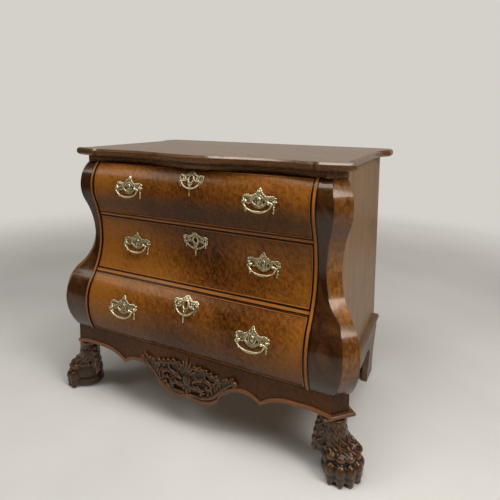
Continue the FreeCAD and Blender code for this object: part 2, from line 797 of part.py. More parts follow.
def bail(name, x, y, z):
    """Drop handle: a bent six-sided wire with round pins that enter the studs."""
    body = new_body(name + "_bow")
    body.setExpression("Placement.Base.x", ex(x))
    body.setExpression("Placement.Base.y", ex(f"{FRONT}+{y}"))
    body.setExpression("Placement.Base.z", ex(z))
    half = [
        ("stud_x+stud_ball+1", "0"),
        ("bail_half", "0"),
        ("bail_half", "-bail_drop*0.3"),
        ("bail_half*0.8", "-bail_drop*0.7"),
        ("bail_half*0.4", "-(bail_drop-bail_wire)"),
    ]
    points = half + [(f"-({px})", pz) for px, pz in reversed(half)]
    spine = draw(body, name + "_way", "XZ_Plane", points, closed=False)
    wire = draw(body, name + "_wire", "YZ_Plane", [
        (f"1.2*bail_wire*cos({60 * i})", f"1.2*bail_wire*sin({60 * i})") for i in range(6)])
    wire.setExpression("AttachmentOffset.Base.z", ex("stud_x+stud_ball+1"))
    pipe = body.newObject("PartDesign::AdditivePipe", name + "_pipe")
    pipe.Profile = wire
    pipe.Spine = (spine, [f"Edge{i}" for i in range(1, len(points))])
    pipe.Transition = "Right corner"
    pins = [rod(f"{name}_pin_{end}", "X", "bail_wire", "bail_half-stud_x+stud_bore",
                f"{x}+({at})", y, z)
            for end, at in (("in", "-bail_half"), ("out", "stud_x-stud_bore"))]
    return node(name, fuse(name + "_all", body, *pins))


edge_form = form("edge_form", "edge_proud", "-drawer_half", "drawer_half", "post_back",
                 "base_top", UNDER_CORNICE)

DRAWERS = (
    ("1", LOW1, HIGH1, "front1_back", "bulge_swing", f"{RAIL_HIGH}+rail_thick"),
    ("2", LOW2, HIGH2, "front2_back", "0", f"{RAIL_LOW}+rail_thick"),
    ("3", LOW3, HIGH3, "front3_back", "belly_swing", "base_top"),
)
for number, low, high, back, swing, runner in DRAWERS:
    me = f"drawer_{number}"
    key_z = f"({high}-key{number}_down)"
    grip_z = f"({high}-handle{number}_down)"
    under = f"({runner}+run_gap)"
    deck = f"({under}+bottom_up)"
    side = "(drawer_half-box_gap)"

    # front, shaped outside and flat inside, let in for the lock
    blank = box(me + "_blank", "-drawer_half", "drawer_half", f"-{FAR}", back, low, high)
    case = box(me + "_case", "-lock_half", "lock_half", f"{back}-lock_thick", back,
               f"{high}-lock_down-lock_high", f"{high}-lock_down")
    slot = bolt_hole(me + "_slot", back, f"{high}-bolt_high-bolt_gap", f"{high}+gap", "bolt_gap")
    key_round = rod(me + "_key_round", "-Y", "key_bore", FAR, "0", f"{back}-lock_thick", key_z, 8)
    key_foot = box(me + "_key_foot", "-key_bore/2", "key_bore/2", f"-{FAR}",
                   f"{back}-lock_thick", f"{key_z}-key_long", key_z)
    node(me + "_front", cut(me + "_front", common(me + "_shape", face, blank),
                            case, slot, key_round, key_foot))
    inside = box(me + "_inside", "-drawer_half+edge_wide", "drawer_half-edge_wide", f"-{FAR}",
                 "post_back", f"{low}+edge_wide", f"{high}-edge_wide")
    node(me + "_bead", cut(me + "_bead", common(me + "_edge", edge_form, blank), face, inside))
    node(me + "_lock_case", cut(me + "_lock", case, slot))
    node(me + "_lock_bolt", box(me + "_bolt", "-bolt_half", "bolt_half", f"{back}-bolt_deep",
                                f"{back}-bolt_deep+bolt_thick", f"{high}-bolt_high", high))

    # box behind the front
    both(me + "_sides", box(me + "_side", f"{side}-lining", side, back, "drawer_deep",
                            under, f"{high}-side_down"))
    node(me + "_bottom", box(me + "_floor", f"-{side}+lining", f"{side}-lining", back,
                             "drawer_deep", deck, f"{deck}+bottom_thick"))
    node(me + "_back", box(me + "_rear", f"-{side}+lining", f"{side}-lining",
                           "drawer_deep-lining", "drawer_deep", f"{deck}+bottom_thick",
                           f"{high}-side_down-bottom_up"))

    # pierced handle plate with two ball-headed studs
    pivot_y = f"-({swing}+stud_reach)"
    pivot_z = f"({grip_z}-stud_down)"
    outline = ornament(me + "_plate", HANDLE, "plate", "handle_x", grip_z)
    plate = cut(me + "_plate_cut", common(me + "_plate_skin", plate_form, outline), face,
                piercing(me + "_eye_1", "handle_x-plate_half*0.42", grip_z),
                piercing(me + "_eye_2", "handle_x+plate_half*0.42", grip_z))
    pieces = [plate]
    for end, x in (("in", "handle_x-stud_x"), ("out", "handle_x+stud_x")):
        shank = rod(f"{me}_shank_{end}", "-Y", "stud_shank", f"post_back-({pivot_y})", x,
                    "post_back", pivot_z, 6)
        head = rod(f"{me}_head_{end}", "X", "stud_ball", "stud_ball*1.6",
                   f"{x}-stud_ball*0.8", pivot_y, pivot_z, 8)
        pieces.append(cut(f"{me}_stud_{end}", shank, face))
        pieces.append(head)
    bore = rod(me + "_bores", "X", "stud_bore/cos(22.5)", "4*plate_half",
               "handle_x-2*plate_half", pivot_y, pivot_z, 8)
    both(me + "_handle_plates", cut(me + "_handle", fuse(me + "_handle_all", *pieces), bore))
    bail(me + "_bail_right", "handle_x", pivot_y, pivot_z)
    bail(me + "_bail_left", "-handle_x", pivot_y, pivot_z)

    # escutcheon round the keyhole
    outline = ornament(me + "_key_plate", SCUTCHEON, "scutcheon", "0", key_z)
    node(me + "_escutcheon", cut(me + "_scutcheon",
                                 common(me + "_scutcheon_skin", plate_form, outline),
                                 face, key_round, key_foot))

doc.recompute()

# ---- check and write -----------------------------------------------------------------------

for obj in doc.Objects:
    if "Invalid" in obj.State or "Error" in obj.State:
        raise RuntimeError(f"{obj.Name} failed: {obj.State}")
labels = [obj.Label for obj in nodes]
if len(set(labels)) != len(labels) or len(labels) > 60:
    raise RuntimeError("node names repeat or are too many")
for obj in nodes:
    if obj.Shape.isNull() or not obj.Shape.isValid() or not obj.Shape.Solids:
        raise RuntimeError(f"{obj.Label} has no sound shape")

os.makedirs("parts", exist_ok=True)
for obj in nodes:
    obj.Shape.exportStep(os.path.join("parts", obj.Label + ".step"))
    bounds = obj.Shape.BoundBox
    print(f"{obj.Label:26s} {len(obj.Shape.Solids)} solid "
          f"x {bounds.XMin:8.1f} {bounds.XMax:8.1f}  y {bounds.YMin:8.1f} {bounds.YMax:8.1f}  "
          f"z {bounds.ZMin:7.1f} {bounds.ZMax:7.1f}")
print(len(nodes), "nodes")
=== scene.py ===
from math import cos, pi, radians, sin

import bmesh
import bpy
from mathutils import Euler, Matrix, Vector
from mathutils.bvhtree import BVHTree


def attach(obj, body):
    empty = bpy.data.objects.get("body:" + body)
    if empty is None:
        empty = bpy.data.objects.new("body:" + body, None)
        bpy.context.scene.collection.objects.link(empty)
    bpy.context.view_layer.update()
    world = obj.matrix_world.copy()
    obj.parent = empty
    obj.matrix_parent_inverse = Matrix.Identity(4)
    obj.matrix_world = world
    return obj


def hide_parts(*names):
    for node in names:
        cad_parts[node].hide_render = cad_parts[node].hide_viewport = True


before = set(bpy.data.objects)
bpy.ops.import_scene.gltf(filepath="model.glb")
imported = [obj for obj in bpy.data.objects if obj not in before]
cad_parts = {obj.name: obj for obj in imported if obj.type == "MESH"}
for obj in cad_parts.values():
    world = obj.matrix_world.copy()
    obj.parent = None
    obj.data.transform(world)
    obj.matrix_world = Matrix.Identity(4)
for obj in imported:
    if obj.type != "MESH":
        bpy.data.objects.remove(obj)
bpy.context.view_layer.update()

MM = 0.001
POST_X = 408              # right corner post's axis, on the waist plane
WAIST_Y = -230.2
APRON_Y = -274.2          # front face of the apron

# the right corner's own frame: X runs along the canted face and -Y looks out of it
CORNER = Matrix.Translation((POST_X * MM, WAIST_Y * MM, 0)) @ Matrix.Rotation(pi / 4, 4, "Z")
MIRRORED = Matrix.Diagonal((-1, 1, 1, 1))


# ---- finishes -----------------------------------------------------------------

# heights of the lines of painted shade round the drawers and along the rails, in millimetres
DRAWER_EDGES = (234, 413, 427, 589.5, 603.5, 758)
RAIL_EDGES = (415, 425, 591.5, 601.5)

# distances from the chest's middle of the painted shade lines at the drawers' ends and along the
# post beads
DRAWER_ENDS = (348,)
POST_BEAD_EDGES = (350.5, 361)

QUIRK = 2.2               # half the width of such a line
# colour of the painted shade in the quirks
QUIRK_SHADE = (0.012, 0.006, 0.003)
PANEL_IN = 363            # inner and outer edge of a post's raised panel
PANEL_OUT = 451.5
# colour of the painted shade along both edges of a post's panel
PANEL_EDGE_SHADE = (0.01, 0.005, 0.002)
DARKEST_X = 50            # middle of the darker part of the drawer fronts, between their painted reflections, and half its width
DARK_HALF = 30
PALE_HALF = 360           # how far from there the painted reflection makes the fronts palest

# clear coats: old wax on most of the case, a glossier one on the posts, rim, caps and
# carving, and the one of the top, which shines most
POLISH = {"Coat_Weight": 0.12, "Coat_Roughness": 0.12, "Specular_IOR_Level": 0.2,
          "Specular_Tint": (1.0, 0.7, 0.42, 1.0)}
GLOSS = {"Coat_Weight": 0.4, "Coat_Roughness": 0.1, "Specular_IOR_Level": 0.3,
         "Specular_Tint": (1.0, 0.75, 0.5, 1.0)}
SHINE = {"Coat_Weight": 0.7, "Coat_Roughness": 0.1, "Specular_IOR_Level": 0.5,
         "Specular_Tint": (1.0, 0.85, 0.68, 1.0)}


class Recipe:
    """Node tree of a finish, or of a group that several finishes share."""

    def __init__(self, tree):
        self.tree = tree

    def step(self, kind, feeds=None, out=0, **settings):
        node = self.tree.nodes.new("ShaderNode" + kind)
        for name, value in settings.items():
            setattr(node, name, value)
        for name, value in (feeds or {}).items():
            self.feed(node.inputs[name], value)
        return node.outputs[out]

    def feed(self, socket, value):
        if isinstance(value, bpy.types.NodeSocket):
            self.tree.links.new(value, socket)
        else:
            socket.default_value = value

    def calc(self, operation, *values):
        return self.step("Math", dict(enumerate(values)), operation=operation)

    def along(self, vector, axis):
        return self.step("SeparateXYZ", {0: vector}, out=axis)

    def scaled(self, vector, factor):
        return self.step("VectorMath", {0: vector, "Scale": factor}, operation="SCALE")

    def added(self, vector, other):
        return self.step("VectorMath", {0: vector, 1: other}, operation="ADD")

    def move(self, vector, scale=(1, 1, 1), turn=(0, 0, 0)):
        angles = tuple(radians(a) for a in turn)
        return self.step("Mapping", {"Vector": vector, "Scale": scale, "Rotation": angles})

    def noise(self, vector, scale, detail=3.0, rough=0.5, bend=0.0):
        return self.step("TexNoise", {"Vector": vector, "Scale": scale, "Detail": detail,
                                      "Roughness": rough, "Distortion": bend})

    def ramp(self, value, *stops):
        """Colours along a value; each stop is a place and a linear colour."""
        made = self.tree.nodes.new("ShaderNodeValToRGB")
        self.tree.links.new(value, made.inputs[0])
        elements = made.color_ramp.elements
        while len(elements) < len(stops):
            elements.new(0.5)
        for element, (place, colour) in zip(elements, stops):
            element.position = place
            element.color = colour + (1,)
        return made.outputs[0]

    def span(self, value, low, high, to_low=0.0, to_high=1.0):
        """Carries a value smoothly from one range to another, and no further."""
        return self.step("MapRange", {"Value": value, "From Min": low, "From Max": high,
                                      "To Min": to_low, "To Max": to_high},
                         interpolation_type="SMOOTHSTEP")

    def mix(self, share, first, second):
        """Colour between two; a mix node keeps its colour sockets at 6, 7 and out 2."""
        made = self.tree.nodes.new("ShaderNodeMix")
        made.data_type = "RGBA"
        self.feed(made.inputs[0], share)
        for number, value in ((6, first), (7, second)):
            self.feed(made.inputs[number], value + (1,) if isinstance(value, tuple) else value)
        return made.outputs[2]


def shared(name, inputs, outputs, build):
    """Node group with one vector input, named numbers and named outputs."""
    group = bpy.data.node_groups.new(name, "ShaderNodeTree")
    group.interface.new_socket("Vector", in_out="INPUT", socket_type="NodeSocketVector")
    for label, value in inputs.items():
        socket = group.interface.new_socket(label, in_out="INPUT", socket_type="NodeSocketFloat")
        socket.default_value = value
    for label in outputs:
        group.interface.new_socket(label, in_out="OUTPUT", socket_type="NodeSocketFloat")
    recipe = Recipe(group)
    source = group.nodes.new("NodeGroupInput")
    results = build(recipe, source.outputs)
    sink = group.nodes.new("NodeGroupOutput")
    for label, value in zip(outputs, results):
        group.links.new(value, sink.inputs[label])
    return group


def burr_figure(r, given):
    """Swirling burr: broad clouds, fine mottle and small dark eyes."""
    place = r.scaled(given["Vector"], given["Size"])
    clouds = r.noise(place, 4.5, detail=2.0, bend=0.4)
    swirl = r.step("TexNoise", {"Vector": place, "Scale": 14.0, "Detail": 3.0}, out="Color")
    bent = r.added(place, r.scaled(swirl, 0.03))
    mottle = r.noise(r.move(bent, (1, 1, 0.6)), 120.0, detail=4.0, rough=0.66)
    curls = r.step("TexWave", {"Vector": bent, "Scale": 22.0, "Distortion": 9.0,
                               "Detail": 2.0, "Detail Scale": 1.6}, out="Fac",
                   bands_direction="DIAGONAL")
    eyes = r.step("TexVoronoi", {"Vector": bent, "Scale": 95.0, "Randomness": 1.0},
                  feature="F1")
    eyes = r.span(eyes, 0.08, 0.26, 0.8, 0.0)
    gate = r.span(r.noise(place, 21.0, detail=2.0), 0.56, 0.7)
    return clouds, mottle, curls, r.calc("MULTIPLY", eyes, gate)


def straight_grain(r, given):
    """Long fibres along Z: broad figure, fine streaks and pores."""
    wander = r.noise(given["Vector"], 5.0, detail=2.0)
    wander = r.calc("MULTIPLY", wander, given["Wander"])
    offset = r.step("CombineXYZ", {"X": wander, "Y": wander, "Z": 0.0})
    bent = r.added(given["Vector"], offset)
    broad = r.noise(r.move(bent, (26, 26, 1.6)), 1.0, rough=0.6)
    streaks = r.noise(r.move(bent, (190, 190, 5)), 1.0, detail=4.0, rough=0.65)
    pores = r.noise(r.move(bent, (620, 620, 26)), 1.0, detail=1.0)
    return broad, streaks, r.span(pores, 0.6, 0.74)


def handling(r, given):
    """Where hands, cloths and time have been: scuffs, wax and dust."""
    patches = r.noise(given["Vector"], 9.0, detail=4.0, rough=0.6)
    rubs = r.noise(r.move(given["Vector"], (60, 60, 14), (0, 25, 10)), 1.0, rough=0.6)
    specks = r.noise(given["Vector"], 420.0, detail=2.0, rough=0.7)
    scuff = r.calc("MULTIPLY", r.span(rubs, 0.52, 0.75), r.span(patches, 0.4, 0.65))
    dust = r.calc("MULTIPLY", r.span(specks, 0.62, 0.74), r.span(patches, 0.35, 0.7))
    return r.calc("MULTIPLY", scuff, given["Amount"]), r.calc("MULTIPLY", dust, given["Amount"])


BURR = shared("burr_figure", {"Size": 1.0}, ("Clouds", "Mottle", "Curls", "Eyes"), burr_figure)
GRAIN = shared("straight_grain", {"Wander": 0.02}, ("Broad", "Streaks", "Pores"),
               straight_grain)
HANDLING = shared("handling", {"Amount": 1.0}, ("Scuff", "Dust"), handling)


def use(recipe, group, vector, **numbers):
    """Outputs of a shared group placed in a finish."""
    made = recipe.tree.nodes.new("ShaderNodeGroup")
    made.node_tree = group
    recipe.tree.links.new(vector, made.inputs["Vector"])
    for label, value in numbers.items():
        made.inputs[label].default_value = value
    return made.outputs


def finish(name, colour, build, **fixed):
    """Material whose build gives the inputs that change over the surface, and the height
    and depth of its relief; the colour here is the plain one of a viewport."""
    material = bpy.data.materials.new(name)
    material.use_nodes = True
    material.diffuse_color = colour + (1,)
    recipe = Recipe(material.node_tree)
    shader = material.node_tree.nodes["Principled BSDF"]
    for label, value in fixed.items():
        shader.inputs[label.replace("_", " ")].default_value = value
    place = recipe.step("TexCoord", out="Object")
    results = build(recipe, place)
    bump = recipe.step("Bump", {"Height": results.pop("relief"),
                                "Distance": results.pop("depth"), "Strength": 0.6})
    recipe.feed(shader.inputs["Normal"], bump)
    for label, value in results.items():
        recipe.feed(shader.inputs[label], value)
    return material


def shade_where_facing_down(r):
    """Painted shade: 0 where the surface looks up or level, towards 1 where it looks down."""
    up = r.along(r.step("NewGeometry", out="Normal"), "Z")
    return r.span(up, 0.0, -0.6, 0.0, 0.85)


def polished_wood(pale, dark, deep, size=1.0, turn=(0, 0, 0), middle=0.0):
    """Burr veneer between a pale and a dark tone, with deep brown eyes.  A middle above 0
    darkens it in the middle of the chest and makes its ends paler, as painted reflection at
    the ends; painted shade darkens it where it looks down."""
    def build(r, place):
        figure = use(r, BURR, r.move(place, turn=turn), Size=size)
        tone = r.calc("MULTIPLY_ADD", figure["Mottle"], 0.5,
                      r.calc("MULTIPLY", figure["Clouds"], 0.62))
        tone = r.calc("MULTIPLY_ADD", figure["Curls"], 0.07, tone)
        # painted reflection: the fronts' ends paler and their middle darker
        if middle:
            across = r.calc("SUBTRACT", r.along(place, "X"), DARKEST_X * MM)
            shade = r.span(r.calc("ABSOLUTE", across), DARK_HALF * MM, PALE_HALF * MM,
                           -middle, middle * 0.7)
            tone = r.calc("ADD", tone, shade)
        colour = r.ramp(tone, (0.34, deep), (0.5, dark), (0.68, pale),
                        (0.88, tuple(min(1.0, c * 1.25) for c in pale)))
        colour = r.mix(figure["Eyes"], colour, deep)
        # painted shade: darker towards the deep tone where the surface looks down
        colour = r.mix(shade_where_facing_down(r), colour, deep)
        worn = use(r, HANDLING, place, Amount=0.6)
        rough = r.calc("MULTIPLY_ADD", figure["Mottle"], 0.16, 0.2)
        rough = r.calc("ADD", rough, r.calc("MULTIPLY", worn["Scuff"], 0.3))
        return {"Base Color": colour, "Roughness": rough, "relief": figure["Mottle"],
                "depth": 0.0002}
    return build


def grained_wood(pale, dark, turn, wander, rough, pores=0.5):
    """Straight-grained wood between two tones; turn brings the grain to Z."""
    def build(r, place):
        grain = use(r, GRAIN, r.move(place, turn=turn), Wander=wander)
        tone = r.calc("MULTIPLY_ADD", grain["Streaks"], 0.5,
                      r.calc("MULTIPLY", grain["Broad"], 0.5))
        colour = r.ramp(tone, (0.36, dark), (0.62, pale))
        colour = r.mix(r.calc("MULTIPLY", grain["Pores"], pores), colour,
                       tuple(c * 0.35 for c in dark))
        worn = use(r, HANDLING, place, Amount=0.8)
        colour = r.mix(r.calc("MULTIPLY", worn["Dust"], 0.12), colour, (0.5, 0.46, 0.4))
        shine = r.calc("MULTIPLY_ADD", grain["Streaks"], 0.14, rough)
        shine = r.calc("ADD", shine, r.calc("MULTIPLY", worn["Scuff"], 0.25))
        height = r.calc("SUBTRACT", grain["Streaks"], grain["Pores"])
        return {"Base Color": colour, "Roughness": shine, "relief": height, "depth": 0.0002}
    return build


def beaded_wood(pale, dark, turn, levels=(), edges=()):
    """Bright grained bead with painted shade in the quirks at these heights and
    distances from the middle, in millimetres."""
    plain = grained_wood(pale, dark, turn, 0.01, 0.24)

    def build(r, place):
        result = plain(r, place)
        height = r.along(place, "Z")
        across = r.calc("ABSOLUTE", r.along(place, "X"))
        shade_lines = None
        for value, marks in ((height, levels), (across, edges)):
            for mark in marks:
                near = r.calc("ABSOLUTE", r.calc("SUBTRACT", value, mark * MM))
                near = r.span(near, QUIRK * 0.6 * MM, QUIRK * MM, 1.0, 0.0)
                shade_lines = r.calc("MAXIMUM", shade_lines, near) if shade_lines else near
        # painted shade in the quirks beside the bead
        result["Base Color"] = r.mix(shade_lines, result["Base Color"], QUIRK_SHADE)
        return result
    return build


def flame_veneer(pale, dark, deep):
    """Figured walnut of the posts: slanting flame over a dark ground, with painted shade
    along both edges and where it looks down."""
    def build(r, place):
        slant = r.move(place, turn=(0, 32, 0))
        warp = r.step("TexNoise", {"Vector": place, "Scale": 9.0, "Detail": 2.0}, out="Color")
        bent = r.added(slant, r.scaled(warp, 0.07))
        flame = r.noise(r.move(bent, (34, 34, 5)), 1.0, detail=4.0, rough=0.6)
        fine = r.noise(r.move(bent, (230, 230, 16)), 1.0, rough=0.6)
        tone = r.calc("MULTIPLY_ADD", fine, 0.35, r.calc("MULTIPLY", flame, 0.65))
        colour = r.ramp(tone, (0.36, deep), (0.5, dark), (0.68, pale))
        # painted shade: darker towards the deep tone where the surface looks down
        colour = r.mix(shade_where_facing_down(r), colour, deep)
        # painted shade along the panel's inner and outer edges
        across = r.calc("ABSOLUTE", r.along(place, "X"))
        inner = r.span(across, PANEL_IN * MM, (PANEL_IN + 1.5) * MM, 0.9, 0.0)
        outer = r.span(across, (PANEL_OUT - 1) * MM, PANEL_OUT * MM, 0.0, 0.95)
        colour = r.mix(r.calc("MAXIMUM", inner, outer), colour, PANEL_EDGE_SHADE)
        worn = use(r, HANDLING, place, Amount=0.5)
        rough = r.calc("MULTIPLY_ADD", worn["Scuff"], 0.3, 0.22)
        return {"Base Color": colour, "Roughness": rough, "relief": fine, "depth": 0.00015}
    return build


def carved_wood(pale, dark, deep):
    """Dark carving: nearly black in its hollows, rubbed to red-brown on high parts."""
    def build(r, place):
        hollow = r.step("Attribute", out="Fac", attribute_name="hollow")
        grain = use(r, GRAIN, place, Wander=0.05)
        wax = r.noise(place, 90.0, detail=4.0, rough=0.6)
        level = r.calc("MULTIPLY_ADD", wax, 0.3, hollow)
        level = r.calc("MULTIPLY_ADD", grain["Streaks"], 0.2, level)
        colour = r.ramp(level, (0.55, deep), (0.78, dark), (1.0, pale))
        rough = r.span(level, 0.5, 1.0, 0.6, 0.22)
        return {"Base Color": colour, "Roughness": rough, "relief": wax, "depth": 0.0005}
    return build


def old_brass(bright, tarnish, dirt):
    """Cast brass: pale on rubbed edges, brown and dull in the chasing."""
    def build(r, place):
        hollow = r.step("Attribute", out="Fac", attribute_name="hollow")
        cloud = r.noise(place, 160.0, detail=4.0, rough=0.65)
        fine = r.noise(place, 900.0, rough=0.6)
        level = r.calc("MULTIPLY_ADD", cloud, 0.5, hollow)
        colour = r.ramp(level, (0.56, dirt), (0.74, tarnish), (0.94, bright))
        rough = r.span(level, 0.45, 1.0, 0.62, 0.26)
        metal = r.span(level, 0.42, 0.6, 0.35, 1.0)
        return {"Base Color": colour, "Roughness": rough, "Metallic": metal, "relief": fine,
                "depth": 0.00012}
    return build


def dark_iron(r, place):
    """Rubbed iron with a film of rust."""
    rust = r.noise(place, 120.0, detail=5.0, rough=0.65)
    colour = r.ramp(rust, (0.4, (0.035, 0.032, 0.03)), (0.7, (0.11, 0.06, 0.035)))
    return {"Base Color": colour, "Roughness": r.span(rust, 0.3, 0.7, 0.35, 0.7),
            "relief": rust, "depth": 0.0003}


BURR_FRONTS = finish("burr_walnut_fronts", (0.2, 0.075, 0.015),
                     polished_wood((0.23, 0.08, 0.011), (0.12, 0.037, 0.005),
                                   (0.035, 0.011, 0.002), middle=0.14), **POLISH)
# painted shade: the apron's burr is set much darker than the fronts'
SHADED_BURR_APRON = finish("burr_walnut_apron_shaded", (0.1, 0.035, 0.008),
                    polished_wood((0.07, 0.022, 0.004), (0.036, 0.011, 0.0025),
                                  (0.015, 0.005, 0.0015), turn=(0, 0, 40)), **POLISH)
BURR_POSTS = finish("burr_walnut_posts", (0.2, 0.075, 0.02),
                    polished_wood((0.24, 0.09, 0.016), (0.1, 0.034, 0.006),
                                  (0.035, 0.011, 0.003), size=0.8, turn=(0, 0, 70)), **GLOSS)
BLOCK_WOOD = finish("block_walnut", (0.05, 0.018, 0.004),
                    polished_wood((0.045, 0.015, 0.0035), (0.024, 0.008, 0.002),
                                  (0.012, 0.004, 0.002)), **POLISH)
FLAME_PANELS = finish("flame_walnut", (0.07, 0.025, 0.006),
                      flame_veneer((0.09, 0.033, 0.008), (0.04, 0.013, 0.0035),
                                   (0.014, 0.005, 0.002)), **GLOSS)
BEAD_WOOD = finish("bead_wood", (0.35, 0.13, 0.025),
                   beaded_wood((0.38, 0.14, 0.025), (0.22, 0.07, 0.012), (0, 90, 0),
                               DRAWER_EDGES, DRAWER_ENDS), **POLISH)
RAIL_WOOD = finish("rail_wood", (0.35, 0.13, 0.025),
                   beaded_wood((0.38, 0.14, 0.025), (0.22, 0.07, 0.012), (0, 90, 0),
                               RAIL_EDGES), **POLISH)
RIM_WOOD = finish("rim_wood", (0.2, 0.07, 0.015),
                  grained_wood((0.22, 0.075, 0.016), (0.1, 0.033, 0.008), (0, 90, 0),
                               0.01, 0.18), **GLOSS)
POST_BEAD_WOOD = finish("post_bead_wood", (0.35, 0.13, 0.025),
                        beaded_wood((0.34, 0.12, 0.022), (0.2, 0.062, 0.011), (0, 0, 0),
                                    (), POST_BEAD_EDGES), **POLISH)
SIDE_WOOD = finish("side_walnut", (0.22, 0.14, 0.08),
                   grained_wood((0.26, 0.15, 0.072), (0.145, 0.08, 0.038), (0, 0, 0), 0.03,
                                0.36), **POLISH)
BASE_WOOD = finish("base_walnut", (0.14, 0.09, 0.055),
                   grained_wood((0.17, 0.11, 0.07), (0.085, 0.052, 0.033), (90, 0, 0), 0.03,
                                0.38), **POLISH)
TOP_WOOD = finish("top_walnut", (0.08, 0.04, 0.018),
                  grained_wood((0.14, 0.062, 0.024), (0.06, 0.025, 0.009), (0, 90, 0), 0.05,
                               0.2, 0.3), **SHINE)
CAP_WOOD = finish("cap_walnut", (0.1, 0.045, 0.025),
                  grained_wood((0.15, 0.06, 0.025), (0.07, 0.026, 0.01), (0, 90, 45), 0.03,
                               0.14, 0.3), **GLOSS)
CARVED = finish("carved_walnut", (0.06, 0.03, 0.018),
                carved_wood((0.14, 0.052, 0.014), (0.022, 0.009, 0.0035),
                            (0.004, 0.002, 0.0015)), **GLOSS)
OAK = finish("drawer_oak", (0.35, 0.22, 0.11),
             grained_wood((0.4, 0.26, 0.13), (0.24, 0.14, 0.065), (0, 90, 0), 0.04, 0.6))
UPRIGHT_OAK = finish("upright_oak", (0.3, 0.2, 0.1),
                     grained_wood((0.34, 0.22, 0.12), (0.2, 0.12, 0.06), (0, 0, 0), 0.04, 0.65))
BRASS = finish("cast_brass", (0.7, 0.6, 0.38),
               old_brass((0.72, 0.64, 0.43), (0.36, 0.29, 0.16), (0.035, 0.024, 0.01)))
IRON = finish("lock_iron", (0.07, 0.05, 0.04), dark_iron, Metallic=0.85)

FINISHED_NODES = {
    BURR_FRONTS: ["drawer_1_front", "drawer_2_front", "drawer_3_front"],
    BEAD_WOOD: ["drawer_1_bead", "drawer_2_bead", "drawer_3_bead"],
    RAIL_WOOD: ["rail_upper", "rail_lower"],
    RIM_WOOD: ["apron_rim"],
    POST_BEAD_WOOD: ["post_beads"],
    FLAME_PANELS: ["post_panels"],
    BURR_POSTS: ["corner_post_right", "corner_post_left"],
    BLOCK_WOOD: ["foot_blocks"],
    CAP_WOOD: ["foot_caps"],
    SHADED_BURR_APRON: ["front_apron"],
    SIDE_WOOD: ["side_panel_right", "side_panel_left"],
    BASE_WOOD: ["side_apron_right", "side_apron_left", "side_mouldings", "rear_foot_brackets"],
    TOP_WOOD: ["top_board", "cornice", "cornice_necks"],
    CARVED: ["apron_cartouche", "paw_foot_right", "paw_foot_left"],
    UPRIGHT_OAK: ["back_boards"],
    OAK: ["bottom_board", "drawer_runners", "drawer_guides", "top_kickers"],
}
for number in "123":
    drawer = f"drawer_{number}_"
    FINISHED_NODES[OAK] += [drawer + part for part in ("sides", "bottom", "back")]
    FINISHED_NODES.setdefault(IRON, []).extend([drawer + "lock_case", drawer + "lock_bolt"])
    FINISHED_NODES.setdefault(BRASS, []).extend(
        drawer + part for part in ("handle_plates", "escutcheon", "bail_right", "bail_left"))
for material, names in FINISHED_NODES.items():
    for name in names:
        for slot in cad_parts[name].material_slots:
            slot.material = material

ARRIS_ANGLE = 38          # edges that turn by less than this stay as they are

# node, and how far its arrises are rounded, in millimetres
ROUNDED = (("top_board", 5), ("cornice", 3), ("foot_caps", 4.5), ("foot_blocks", 1.2),
           ("side_mouldings", 2), ("apron_rim", 1.2), ("front_apron", 1),
           ("side_apron_right", 1.5), ("side_apron_left", 1.5), ("rear_foot_brackets", 1.5))
for name, width in ROUNDED:
    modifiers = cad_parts[name].modifiers
    joined = modifiers.new("joined", "WELD")
    joined.merge_threshold = 0.01 * MM
    rounded = modifiers.new("rounded", "BEVEL")
    rounded.width = width * MM
    rounded.segments = 3
    rounded.limit_method = "ANGLE"
    rounded.angle_limit = radians(ARRIS_ANGLE)
    shaded = modifiers.new("shaded", "WEIGHTED_NORMAL")
    shaded.mode = "FACE_AREA"


# ---- carving and casting tools ------------------------------------------------


def new_object(name, data):
    """New object in the scene that holds this data."""
    obj = bpy.data.objects.new(name, data)
    bpy.context.scene.collection.objects.link(obj)
    return obj


def lump(bm, place, size, turn=(0, 0, 0), cuts=3):
    """Rounded mass of clay, in millimetres: half sizes, turned in degrees."""
    spin = Euler([radians(a) for a in turn]).to_matrix().to_4x4()
    shape = Matrix.Translation(Vector(place)) @ spin @ Matrix.Diagonal((*size, 1))
    bmesh.ops.create_icosphere(bm, subdivisions=cuts, radius=1, matrix=shape)


def strands(bm, runs, sides=2, steps=5):
    """Tapering round strands; each run is points (x, y, z, thickness)."""
    curve = bpy.data.curves.new("strands", "CURVE")
    curve.dimensions = "3D"
    curve.bevel_depth = 1
    curve.bevel_resolution = sides
    curve.resolution_u = steps
    curve.use_fill_caps = True
    for run in runs:
        ring = run[0] == run[-1]
        points = run[:-1] if ring else run
        spline = curve.splines.new("NURBS")
        spline.points.add(len(points) - 1)
        for point, (x, y, z, thick) in zip(spline.points, points):
            point.co = (x, y, z, 1)
            point.radius = thick
        spline.order_u = 4 if len(points) > 3 else len(points)
        spline.use_cyclic_u = ring
        spline.use_endpoint_u = not ring
    holder = bpy.data.objects.new("strands", curve)
    mesh = bpy.data.meshes.new_from_object(holder)
    bm.from_mesh(mesh)
    bpy.data.objects.remove(holder)
    bpy.data.meshes.remove(mesh)
    bpy.data.curves.remove(curve)


def twin(bm):
    """Add the mirror image across X."""
    copy = bmesh.ops.duplicate(bm, geom=bm.verts[:] + bm.edges[:] + bm.faces[:])["geom"]
    faces = [g for g in copy if isinstance(g, bmesh.types.BMFace)]
    points = [g for g in copy if isinstance(g, bmesh.types.BMVert)]
    bmesh.ops.scale(bm, vec=(-1, 1, 1), verts=points)
    bmesh.ops.reverse_faces(bm, faces=faces)


def to_metres(bm):
    bmesh.ops.scale(bm, vec=(MM,) * 3, verts=bm.verts)


